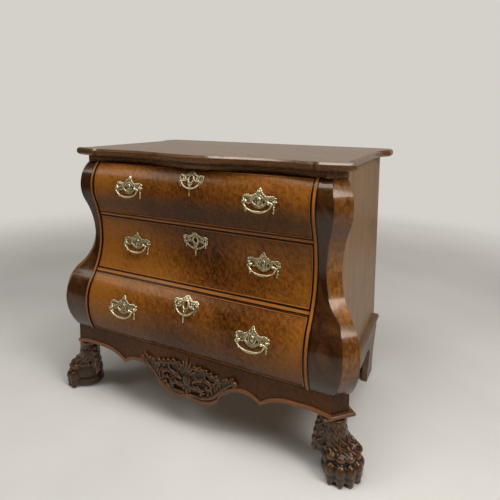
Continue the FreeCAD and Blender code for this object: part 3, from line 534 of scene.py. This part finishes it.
def melt(bm, grain):
    """Join overlapping masses into one skin of this grain and soften it once."""
    mesh = bpy.data.meshes.new("melt")
    bm.to_mesh(mesh)
    bm.free()
    holder = new_object("melt", mesh)
    skin = holder.modifiers.new("skin", "REMESH")
    skin.mode = "VOXEL"
    skin.voxel_size = grain
    graph = bpy.context.evaluated_depsgraph_get()
    joined = bpy.data.meshes.new_from_object(holder.evaluated_get(graph))
    bpy.data.objects.remove(holder)
    bpy.data.meshes.remove(mesh)
    made = bmesh.new()
    made.from_mesh(joined)
    bpy.data.meshes.remove(joined)
    bmesh.ops.smooth_vert(made, verts=made.verts, factor=0.5, use_axis_x=True,
                          use_axis_y=True, use_axis_z=True)
    return made


def mark_hollows(bm, relief):
    """Store 0 in the carving's hollows, half on its flats and 1 on its ridges; relief is how
    far, in millimetres, a full ridge stands above the points round it."""
    layer = bm.verts.layers.float.new("hollow")
    bm.normal_update()
    level = {}
    for vert in bm.verts:
        around = [edge.other_vert(vert) for edge in vert.link_edges]
        middle = sum((v.co for v in around), Vector()) / max(1, len(around))
        level[vert.index] = (vert.co - middle).dot(vert.normal) / (relief * MM)
    for _ in range(3):
        spread = {}
        for vert in bm.verts:
            near = [level[edge.other_vert(vert).index] for edge in vert.link_edges]
            spread[vert.index] = (level[vert.index] + sum(near)) / (1 + len(near))
        level = spread
    for vert in bm.verts:
        vert[layer] = min(1, max(0, 0.5 + 0.5 * level[vert.index]))


def piece(name, bm, material, body, stands_for):
    """Finished piece from a mesh in metres, riding on its body in place of a plain node."""
    for face in bm.faces:
        face.smooth = True
    mesh = bpy.data.meshes.new(name)
    bm.to_mesh(mesh)
    bm.free()
    mesh.materials.append(material)
    obj = new_object(name, mesh)
    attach(obj, body)
    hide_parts(stands_for)


# ---- paw feet -----------------------------------------------------------------

PAW = (20, -12)           # middle of the paw in the corner's frame
TOES = (-62, -31, 0, 31, 62)
BETWEEN_TOES = (-46, -15, 16, 46)
WIDEST = 115.4            # most that x less y may be, so the paw stays in the chest's width
CAP_Z = 158               # the leg ends under its moulded cap
HAND_Z = 110              # the leg widens into the hand from here down
DRAWN_OVER = 50           # how much lower the hand is drawn forward in full
OUTSIDE = 90              # beyond the leg's skin, from where hair is laid on it
PAW_GRAIN = 2.4           # of the first clay masses, and then of the finished carving
FUR_GRAIN = 1.25
FUR_RELIEF = 0.16

# height, reach to the side and size of the fringe's masses
FRINGE = ((144, 32, 9), (128, 34, 10.5), (109, 36, 11.5), (88, 38, 12), (68, 39, 11))

# height and reach to the side of the locks on the fringe
LOCKS = ((150, 36), (134, 39), (116, 43), (96, 45), (75, 46))

# rows of hair: top and foot of each lock, its thickness and how many go round
HAIR = ((157, 124, 2.0, 26), (140, 104, 2.2, 26), (122, 84, 2.4, 24), (100, 74, 2.3, 20))


def paw_mass(splay):
    """Leg, hand and toes as overlapping masses, in the corner's own frame."""
    bm = bmesh.new()
    px, py = PAW

    def knob(angle, reach, z, size, tilt=0):
        angle += splay
        turn = radians(angle)
        place = (px + reach * sin(turn), py - reach * cos(turn), z)
        lump(bm, place, size, (tilt, 0, angle))

    # leg and hand, from the ankle down
    lump(bm, (3, -7, 150), (31, 30, 22))
    lump(bm, (4, -8, 122), (31, 30, 38))
    lump(bm, (11, -10, 99), (35, 33, 20))
    lump(bm, (19, -11, 78), (45, 42, 20))
    lump(bm, (20, -11, 52), (49, 46, 34))
    lump(bm, (20, -7, 22), (48, 46, 28))
    # each toe's upper joint, pad, claw, knuckle and sinew
    for angle in TOES:
        knob(angle, 43, 39, (15.5, 17.5, 20), 4)
        knob(angle, 43, 22, (14.5, 15, 20))
        knob(angle, 49, 7, (7.5, 8, 9), 12)
        knob(angle, 40, 71, (14, 15.5, 11.5), -10)
        knob(angle, 30, 87, (8, 12, 9), -35)
    for angle in BETWEEN_TOES:
        knob(angle, 37, 77, (6, 9, 7), -20)
    # flanks and their fringe
    for side in (-1, 1):
        lump(bm, (side * 22 + 3, 6, 128), (18, 13, 34), (0, side * -6, 0))
        lump(bm, (side * 27 + 6, 10, 88), (18, 15, 34), (0, side * -8, 0))
        for number, (z, reach, size) in enumerate(FRINGE):
            lump(bm, (side * reach + 2, 10 + number * 2, z), (size, size * 0.9, size * 1.25),
                 (0, side * 14, 0))
    return bm


def drawn(bm, near, far, ahead):
    """Draws the lower paw forward and narrows its near and far flank, each by a factor."""
    px, py = PAW
    for vert in bm.verts:
        low = min(1, max(0, (HAND_Z - vert.co.z) / DRAWN_OVER))
        across, out = vert.co.x - px, py - vert.co.y
        across *= 1 + ((near if across < 0 else far) - 1) * low
        if out > 0:
            out *= 1 + (ahead - 1) * low
        over = px + across - py + out - WIDEST
        if over > 0:
            across -= over / 2
            out -= over / 2
        vert.co.x, vert.co.y = px + across, py - out


def fur(skin):
    """Locks of hair laid on the leg, running down from the ankle to the knuckles."""
    runs = []
    for row, (top, low, thick, count) in enumerate(HAIR):
        for number in range(count):
            # spread round the leg's front and sides, every other row half a lock further on
            start = -150 + 300 * (number + 0.5 * (row % 2)) / (count - 1)
            run = []
            for step in range(7):
                share = step / 6
                # each lock sways as it falls, and begins a little higher or lower
                turn = radians(start + 13 * sin(share * 4.4 + number * 1.9) + 5 * share)
                away = Vector((sin(turn), -cos(turn), 0))
                z = top - (top - low) * share + 3 * sin(number * 2.7)
                axis = Vector((4 + max(0, HAND_Z - z) * 0.3, -8, z))
                hit = skin.ray_cast(axis + away * OUTSIDE, -away)[0]
                if hit:
                    spot = hit - away * thick * 0.25
                    run.append((*spot, thick * (0.25 + sin(pi * (0.1 + 0.8 * share)))))
            if len(run) > 3:
                runs.append(run)
    return runs


def curls():
    """Scroll-ended locks down the fringe behind each side of the leg."""
    runs = []
    for side in (-1, 1):
        for number, (z, reach) in enumerate(LOCKS):
            x, y = side * reach + 2, 6 + number * 2
            runs.append([(x - side * 7, y - 3, z + 6, 1.5), (x - side, y - 3, z + 2, 2.6),
                         (x + side * 1.5, y - 1, z - 6, 3), (x, y, z - 14, 2.6),
                         (x - side * 4, y + 1, z - 16, 1.6), (x - side * 5, y, z - 12, 1)])
    return runs


def paw(splay, near, far, ahead):
    """Lion's paw below its cap, carved in one piece; splay turns its toes."""
    mass = melt(paw_mass(splay), PAW_GRAIN)
    drawn(mass, near, far, ahead)
    strands(mass, fur(BVHTree.FromBMesh(mass)) + curls(), steps=4)
    to_metres(mass)
    made = melt(mass, FUR_GRAIN * MM)
    for vert in made.verts:
        vert.co.z = min(CAP_Z * MM, max(0, vert.co.z))
    mark_hollows(made, FUR_RELIEF)
    bmesh.ops.transform(made, matrix=CORNER, verts=made.verts)
    return made


def paws():
    """The left paw is carved with its toes further to the side, leaner and longer."""
    right = paw(0, 1, 1, 1)
    left = paw(26, 0.74, 0.9, 1.16)
    bmesh.ops.transform(left, matrix=MIRRORED, verts=left.verts)
    bmesh.ops.reverse_faces(left, faces=left.faces)
    piece("paw_right", right, CARVED, "chest_case", "paw_foot_right")
    piece("paw_left", left, CARVED, "chest_case", "paw_foot_left")


# ---- carved shield on the apron -----------------------------------------------

SHIELD_GRAIN = 1.2
SHIELD_RELIEF = 0.18
SHIELD_PROUD = 13         # most that the carving stands out from the apron
PETALS = 5


def spaced(run, count):
    """Evenly spaced spots along a run of points, each with the run's direction there."""
    for number in range(count):
        place = (number + 0.5) / count * (len(run) - 1)
        first = min(int(place), len(run) - 2)
        start, end = Vector(run[first][:3]), Vector(run[first + 1][:3])
        yield start.lerp(end, place - first), (end - start).normalized()


def leaves(run, side, long, thick, count):
    """Leaflets along a strand, standing off to one side of it."""
    made = []
    for number, (root, along) in enumerate(spaced(run, count)):
        off = Vector((along.z, 0, -along.x)) * side
        size = long * (1 - 0.35 * abs(2 * (number + 0.5) / count - 1))
        middle = root + off * size * 0.55 + along * size * 0.3
        tip = root + off * size * 0.9 + along * size * 0.75
        made.append([(*root, thick * 0.7), (*middle, thick), (*tip, thick * 0.3)])
    return made


def rosette(bm, x, z, size):
    """Small open flower with a button in its middle."""
    lump(bm, (x, -4, z), (size * 0.34, 4, size * 0.34), cuts=2)
    for number in range(PETALS):
        angle = 2 * pi * number / PETALS
        lump(bm, (x + size * 0.6 * cos(angle), -3, z + size * 0.6 * sin(angle)),
             (size * 0.42, 3.4, size * 0.26), (0, -360 * number / PETALS, 0), 2)


def fan(x, z, angles, long, thick):
    """Lobes that spread from a point, each angle measured from upright."""
    made = []
    for angle in angles:
        dx, dz = sin(radians(angle)), cos(radians(angle))
        size = long * (1 - 0.3 * abs(sin(radians(angle))))
        made.append([(x + dx * 6, -3, z + dz * 6, thick * 0.5),
                     (x + dx * size * 0.55, -6, z + dz * size * 0.55, thick),
                     (x + dx * size * 0.88, -6, z + dz * size * 0.88, thick * 0.9),
                     (x + dx * size, -3, z + dz * size, thick * 0.35)])
    return made


def cartouche():
    """Rocaille relief over the middle of the apron; its back is at Y = 0.  The right half
    is laid out, with its great scroll, inner curl and branches, and then mirrored."""
    bm = bmesh.new()
    great = [(8, -4, 117, 3), (22, -5, 117, 4), (40, -6, 118, 5), (62, -6, 122, 6),
             (84, -6, 132, 6), (100, -6, 146, 6), (112, -6, 160, 5.5), (124, -6, 173, 5),
             (138, -6, 184, 5), (149, -6, 190, 4.5)]
    inner = [(20, -5, 156, 4), (38, -7, 170, 5.5), (62, -7, 176, 5.5), (80, -7, 168, 5),
             (84, -6, 154, 4.5), (72, -6, 147, 4.5), (63, -6, 155, 4)]
    upper = [(16, -5, 196, 4), (34, -6, 203, 5), (54, -6, 201, 5.5), (72, -6, 193, 5),
             (92, -6, 190, 4.5), (108, -6, 180, 4.5), (122, -6, 184, 4), (134, -6, 194, 3)]
    lower = [(12, -5, 138, 4.5), (30, -7, 146, 5.5), (48, -7, 142, 5.5), (54, -6, 131, 4.5),
             (44, -6, 127, 4)]
    runs = [great, inner, upper, lower]
    runs += leaves(great[3:], -1, 22, 5, 9) + leaves(great[2:], 1, 5, 3, 9)
    runs += leaves(upper, -1, 12, 4.5, 8) + leaves(upper, 1, 16, 4.5, 8)
    runs += leaves(inner, 1, 10, 4, 6) + leaves(inner, -1, 12, 4, 5)
    runs += leaves(lower, -1, 9, 3.5, 5) + fan(0, 172, (18, 38, 60), 46, 5)
    runs += fan(98, 166, (-70, -20, 30, 80), 22, 4) + fan(0, 148, (150, 122), 30, 4.5)
    strands(bm, runs)
    rosette(bm, 100, 164, 9)
    rosette(bm, 54, 160, 8)
    lump(bm, (153, -7, 190), (8.5, 8, 8.5))
    # thin ground that holds the scrolls together
    for x, z, wide, high in ((48, 160, 52, 40), (92, 166, 46, 26), (128, 184, 24, 10)):
        lump(bm, (x, 0, z), (wide, 3, high))
    twin(bm)
    # middle ground and its domed shield
    lump(bm, (0, 0, 164), (46, 3, 50))
    lump(bm, (0, -5, 160), (14, 8, 20))
    lump(bm, (0, -9, 162), (9, 5, 13))
    strands(bm, fan(0, 172, (0,), 49, 5.5) + fan(0, 150, (180,), 33, 5))
    to_metres(bm)
    made = melt(bm, SHIELD_GRAIN * MM)
    for vert in made.verts:
        vert.co.y = min(0, max(-SHIELD_PROUD * MM, vert.co.y))
    mark_hollows(made, SHIELD_RELIEF)
    bmesh.ops.translate(made, vec=(0, APRON_Y * MM, 0), verts=made.verts)
    piece("cartouche", made, CARVED, "chest_case", "apron_cartouche")


# ---- brass mounts -------------------------------------------------------------

GRIP_X = 211              # the handles' distance from the middle
STUD_X = 31.5             # the studs' distance from a handle's middle
STUD_DOWN = 2
STUD_BALL = 4.6
STUD_LONG = 15            # from the ball's middle to the end in the plate
PLATE_GRAIN = 0.6
BAIL_GRAIN = 0.7
STUD_GRAIN = 0.8
BRASS_RELIEF = 0.12
BESIDE = (0, 9, 14)       # how far aside a front is felt for, where it is pierced
AHEAD_Y = -1              # well ahead of every front, in metres

# drawer, its level, the heights of its handles and of its key, and its bails' axis
GRIPS = ((1, "upper", 694, 733, -281.2), (2, "middle", 517.5, 554.5, -244.2),
         (3, "lower", 339, 383, -312.2))


def laid_on(node):
    """Tool that moves a flat brass's points back onto a drawer front's curved face."""
    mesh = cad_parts[node].data
    face = BVHTree.FromPolygons([v.co for v in mesh.vertices],
                                [p.vertices for p in mesh.polygons])
    top = max(v.co.z for v in mesh.vertices) - 0.5 * MM

    def front(x, z):
        """The front's Y at this spot, or beside it where the front is pierced."""
        for aside in BESIDE:
            start = Vector((x + aside * MM, AHEAD_Y, min(z, top)))
            hit = face.ray_cast(start, Vector((0, 1, 0)))[0]
            if hit:
                return hit.y

    def bent(bm):
        for vert in bm.verts:
            vert.co.y += front(vert.co.x, vert.co.z)
    return bent


def cast_skin(bm, grain, flat_back=False):
    """Casting of masses in millimetres; a plate's back is filed flat at Y = 0."""
    to_metres(bm)
    made = melt(bm, grain * MM)
    if flat_back:
        for vert in made.verts:
            vert.co.y = min(0, vert.co.y)
    mark_hollows(made, BRASS_RELIEF)
    return made


def eye(x, z, wide, high, thick, count=10):
    """Points of a closed ring round a spot."""
    ring = [(x + wide * cos(a), -1.5, z + high * sin(a), thick)
            for a in (2 * k * pi / count for k in range(count))]
    return ring + ring[:1]


def beads(bm, run, size, count, above=0):
    """A row of beads along a run of points or above it, standing a little proud."""
    for spot, _ in spaced(run, count):
        lump(bm, (spot.x, spot.y - 0.9, spot.z + above), (size, size * 0.8, size), cuts=2)


def handle_plate():
    """Pierced plate: crowned boss between leafy arms, with tails at the ends.  The right
    half is laid out and mirrored before the boss is set in the middle."""
    bm = bmesh.new()
    shoulder = [(3, -1.6, 23, 2.4), (9, -1.8, 16, 2.8), (16, -1.8, 9, 2.8), (24, -1.8, 6.5, 2.6),
                (32, -1.8, 9, 2.7), (40, -1.7, 9, 2.6), (46, -1.5, 4, 2.4), (46, -1.3, -3, 2),
                (41.5, -1.2, -5, 1.7)]
    festoon = [(24, -1.6, -2, 2), (17, -1.8, -9, 2.6), (9, -1.9, -15, 3), (0, -2, -17.5, 3.2)]
    scroll = [(11, -1.4, 6, 2.2), (17, -1.6, 1, 2.4), (22, -1.6, -5, 2.2), (27, -1.5, -10, 2.1),
              (33, -1.4, -11, 2), (36, -1.2, -8, 1.6)]
    tail = [(39.5, -1.4, -3, 2.4), (41, -1.4, -12, 2), (40.5, -1.2, -22, 1.6), (39, -1, -31, 1.8)]
    runs = [shoulder, festoon, scroll, tail]
    runs += leaves(shoulder[3:], -1, 5, 1.9, 5) + leaves(shoulder[:4], -1, 3.5, 1.7, 4)
    runs += leaves(tail, 1, 4, 1.6, 3) + leaves(tail, -1, 4, 1.6, 4)
    runs += leaves(scroll[:4], 1, 4, 1.6, 4) + leaves(festoon, 1, 3, 1.5, 3)
    runs += [[(1, -1.2, 14, 2.2), (6, -1.8, 19, 2.2), (5, -1.8, 25, 2), (0.5, -1.2, 31, 1.2)],
             [(0.5, -1.2, 18, 1.6), (0.5, -2, 25, 2.2), (0.5, -1, 32, 1.2)]]
    runs += [eye(STUD_X, -STUD_DOWN, 7.5, 7.5, 2.2), eye(19, 3.5, 3.2, 3.2, 1.4, 7)]
    strands(bm, runs)
    beads(bm, shoulder, 2.1, 13, 3.2)
    beads(bm, shoulder[:6], 1.7, 8, -4)
    beads(bm, festoon, 2.2, 6, -2.6)
    beads(bm, tail, 1.9, 6)
    lump(bm, (39, -1.2, -30), (2.4, 1.8, 3.4), cuts=2)
    lump(bm, (45.5, -1.6, 7), (3.4, 2.2, 3.4), cuts=2)
    rosette(bm, 42, 0, 4.5)
    twin(bm)
    boss_ring = eye(0, 0, 10.5, 13.5, 2.4)
    strands(bm, [boss_ring])
    beads(bm, boss_ring, 1.7, 16)
    lump(bm, (0, -2.4, 22), (3.6, 2.4, 3.6), cuts=2)
    lump(bm, (0, -2, 0), (6.2, 4, 9.5))
    lump(bm, (0, -1.6, -19), (3, 2.2, 4), cuts=2)
    return cast_skin(bm, PLATE_GRAIN, flat_back=True)


def escutcheon():
    """Crowned shield with a keyhole; a swag and a middle drop hang below it."""
    bm = bmesh.new()
    shoulder = [(3, -1.6, 18, 2.2), (9, -1.8, 13.5, 2.5), (16, -1.8, 8.5, 2.6),
                (25, -1.8, 7, 2.5), (33, -1.7, 8.5, 2.4), (39, -1.5, 5, 2.2), (38, -1.3, 0, 1.8)]
    frame_side = [(10, -1.4, 1, 2.2), (12, -1.6, -7, 2.2), (20, -1.6, -6, 2.2),
                  (28, -1.5, -7, 2.2)]
    swag = [(31.5, -1.5, -7, 2.2), (27, -1.7, -16, 2.4), (18, -1.8, -23, 2.6),
            (8, -1.8, -26.5, 2.7), (0, -1.8, -27, 2.8)]
    point = [(9, -1.5, -8, 2.2), (5, -1.6, -15, 2.4), (0, -1.6, -20, 2.6), (0, -1.6, -26, 2.4)]
    tail = [(34, -1.5, 5, 2.4), (33.5, -1.5, -6, 2.2), (32.5, -1.3, -16, 1.8),
            (31, -1, -23, 1.6)]
    runs = [shoulder, frame_side, swag, point, tail]
    runs += leaves(shoulder[3:], -1, 4, 1.7, 4) + leaves(shoulder[:4], -1, 3, 1.6, 3)
    runs += leaves(swag, 1, 3, 1.5, 5) + leaves(tail, -1, 3, 1.5, 3)
    runs += [[(38, -1.4, 2, 2), (38, -1.2, -6, 1.8), (37, -1, -12, 1.3)],
             [(1, -1.2, 12, 2.2), (5, -1.8, 16, 2), (0.5, -1.2, 21.5, 1.4)]]
    runs += [eye(22, 0.5, 4.2, 4.2, 1.9, 8)]
    strands(bm, runs)
    beads(bm, shoulder, 1.9, 12, 2.8)
    beads(bm, shoulder[:5], 1.6, 7, -3.6)
    beads(bm, swag, 2, 9, 1.6)
    beads(bm, frame_side, 1.7, 5, 2.6)
    rosette(bm, 35, 3, 4.5)
    twin(bm)
    strands(bm, [eye(0, -1, 9, 11.5, 3)])
    beads(bm, eye(0, -1, 10, 12.5, 3), 1.6, 14)
    strands(bm, [[(0, -1.8, -27, 3.2), (0, -1.8, -35, 3), (0, -1.4, -42, 2.6),
                  (0, -1, -48, 1.2)]])
    return cast_skin(bm, PLATE_GRAIN, flat_back=True)


def stud(bm, x, y, z):
    """Ball-headed stud on a turned shank."""
    lump(bm, (x, y, z), (STUD_BALL,) * 3)
    back = y + STUD_LONG
    strands(bm, [[(x, back, z, 5), (x, back - 2, z, 4.2), (x, back - 4, z, 2.6),
                  (x, y + 3, z, 2.6)]], sides=3)


def bail(x, y, z):
    """Slender drop handle, thicker in the middle and at its shoulders."""
    bm = bmesh.new()
    half = [(30, 0, 0, 2.2), (36, 0, 0, 2.2), (40, 0, -0.5, 2.5), (40, 0, -4, 2.8),
            (37, 0, -11, 2.2), (31, 0, -18, 2.1), (22, 0, -23, 2.4), (12, 0, -26, 3.1),
            (4, 0, -26.5, 3.7)]
    run = half + [(-a, b, c, d) for a, b, c, d in reversed(half)]
    strands(bm, [run], sides=4, steps=8)
    for side in (-1, 1):
        lump(bm, (side * 41, 0, -3), (3, 3, 3.6), cuts=2)
    bmesh.ops.translate(bm, vec=(x, y, z), verts=bm.verts)
    return cast_skin(bm, BAIL_GRAIN)


def pour(bm, into):
    """Moves one mesh into another."""
    held = bpy.data.meshes.new("held")
    bm.to_mesh(held)
    bm.free()
    into.from_mesh(held)
    bpy.data.meshes.remove(held)


def brasses():
    """Two plates with their studs, an escutcheon and two bails for each drawer."""
    plate, shield = handle_plate(), escutcheon()
    for number, level, grip_z, key_z, pivot_y in GRIPS:
        body = f"{level}_drawer"
        pivot_z = grip_z - STUD_DOWN
        bent = laid_on(f"drawer_{number}_front")
        both, studs = bmesh.new(), bmesh.new()
        for side in (-1, 1):
            copy = plate.copy()
            spot = (side * GRIP_X * MM, 0, grip_z * MM)
            bmesh.ops.translate(copy, vec=spot, verts=copy.verts)
            bent(copy)
            pour(copy, both)
            for end in (-1, 1):
                stud(studs, side * GRIP_X + end * STUD_X, pivot_y, pivot_z)
        pour(cast_skin(studs, STUD_GRAIN), both)
        piece(f"handle_plates_{level}", both, BRASS, body,
              f"drawer_{number}_handle_plates")
        copy = shield.copy()
        bmesh.ops.translate(copy, vec=(0, 0, key_z * MM), verts=copy.verts)
        bent(copy)
        piece(f"escutcheon_{level}", copy, BRASS, body, f"drawer_{number}_escutcheon")
        for hand, x in (("left", -GRIP_X), ("right", GRIP_X)):
            piece(f"bail_{level}_{hand}", bail(x, pivot_y, pivot_z), BRASS,
                  f"{level}_{hand}_bail", f"drawer_{number}_bail_{hand}")
    plate.free()
    shield.free()


paws()
cartouche()
brasses()


# ---- floor, light and camera --------------------------------------------------

WALL_SEEN = (0.66, 0.635, 0.59)
WALL_IN_POLISH = (0.06, 0.047, 0.034)
WALL_LIGHT = (0.12, 0.118, 0.114)
DAYLIGHT = (1, 0.98, 0.95)
WARM_WALL = (1, 0.88, 0.76)
FLOOR_RADIUS = 6
FLOOR_FADES = (1.5, 3.2)  # from where to where the floor passes into the wall's colour


def pale_floor():
    """Round plain floor that fades out at a distance."""
    bm = bmesh.new()
    bmesh.ops.create_circle(bm, cap_ends=True, segments=96, radius=FLOOR_RADIUS)
    mesh = bpy.data.meshes.new("floor")
    bm.to_mesh(mesh)
    bm.free()
    floor = new_object("floor", mesh)
    material = bpy.data.materials.new("pale_stone")
    material.use_nodes = True
    r = Recipe(material.node_tree)
    shader = material.node_tree.nodes["Principled BSDF"]
    place = r.step("TexCoord", out="Object")
    cloud = r.noise(place, 2.5, detail=4.0)
    r.feed(shader.inputs["Base Color"],
           r.ramp(cloud, (0.3, (0.6, 0.58, 0.545)), (0.7, (0.66, 0.64, 0.605))))
    shader.inputs["Roughness"].default_value = 0.6
    away = r.step("VectorMath", {0: place}, out="Value", operation="LENGTH")
    r.feed(shader.inputs["Alpha"], r.span(away, *FLOOR_FADES, 1.0, 0.0))
    mesh.materials.append(material)


def soft_box(name, place, aim, size, power, tint=(1, 1, 1)):
    """Lamp of this size in metres, turned to a point."""
    data = bpy.data.lights.new(name, "AREA")
    data.shape = "RECTANGLE"
    data.size, data.size_y = size
    data.energy = power
    data.color = tint
    lamp = new_object(name, data)
    lamp.location = place
    lamp.rotation_euler = (Vector(aim) - Vector(place)).to_track_quat("-Z", "Y").to_euler()
    return lamp


def pale_room():
    """Pale wall to the camera, dim in polish, and a low light on the chest."""
    world = bpy.data.worlds.new("pale_room")
    bpy.context.scene.world = world
    world.use_nodes = True
    r = Recipe(world.node_tree)
    rays = world.node_tree.nodes.new("ShaderNodeLightPath").outputs
    seen = r.calc("MAXIMUM", rays["Is Camera Ray"], rays["Is Transmission Ray"])
    colour = r.mix(rays["Is Glossy Ray"], WALL_LIGHT, WALL_IN_POLISH)
    colour = r.mix(seen, colour, WALL_SEEN)
    r.feed(world.node_tree.nodes["Background"].inputs["Color"], colour)


def camera():
    """Camera a little above the top, looking in from the right."""
    data = bpy.data.cameras.new("camera")
    data.lens = 32.66
    data.shift_x = 0.014
    data.shift_y = -0.186
    data.clip_start = 0.05
    heading = Matrix.Rotation(radians(26.27), 4, "Z")
    tilt = Matrix.Rotation(radians(84.61), 4, "X")
    roll = Matrix.Rotation(radians(0.69), 4, "Z")
    stand = Matrix.Translation((0.678, -1.3092, 0.912))
    viewer = new_object("camera", data)
    viewer.matrix_world = stand @ (heading @ tilt @ roll)
    bpy.context.scene.camera = viewer


pale_floor()
pale_room()
soft_box("window", place=(2.2, -0.9, 2.2), aim=(0.2, 0, 0.5), size=(1.0, 1.4), power=50,
         tint=DAYLIGHT)
soft_box("left_window", place=(-1.9, -1.9, 2.4), aim=(0, 0, 0.5), size=(1.0, 1.2), power=18,
         tint=DAYLIGHT)
soft_box("overhead", place=(0.3, -0.8, 2.9), aim=(0.1, -0.2, 0), size=(2.0, 1.4), power=56)
wall_light = soft_box("back_wall", place=(-0.9, 2.6, 0.95), aim=(-0.9, 0, 0.95),
                      size=(7, 1.8), power=13, tint=WARM_WALL)
wall_light.visible_camera = False
camera()
bpy.context.scene.view_settings.view_transform = "Standard"
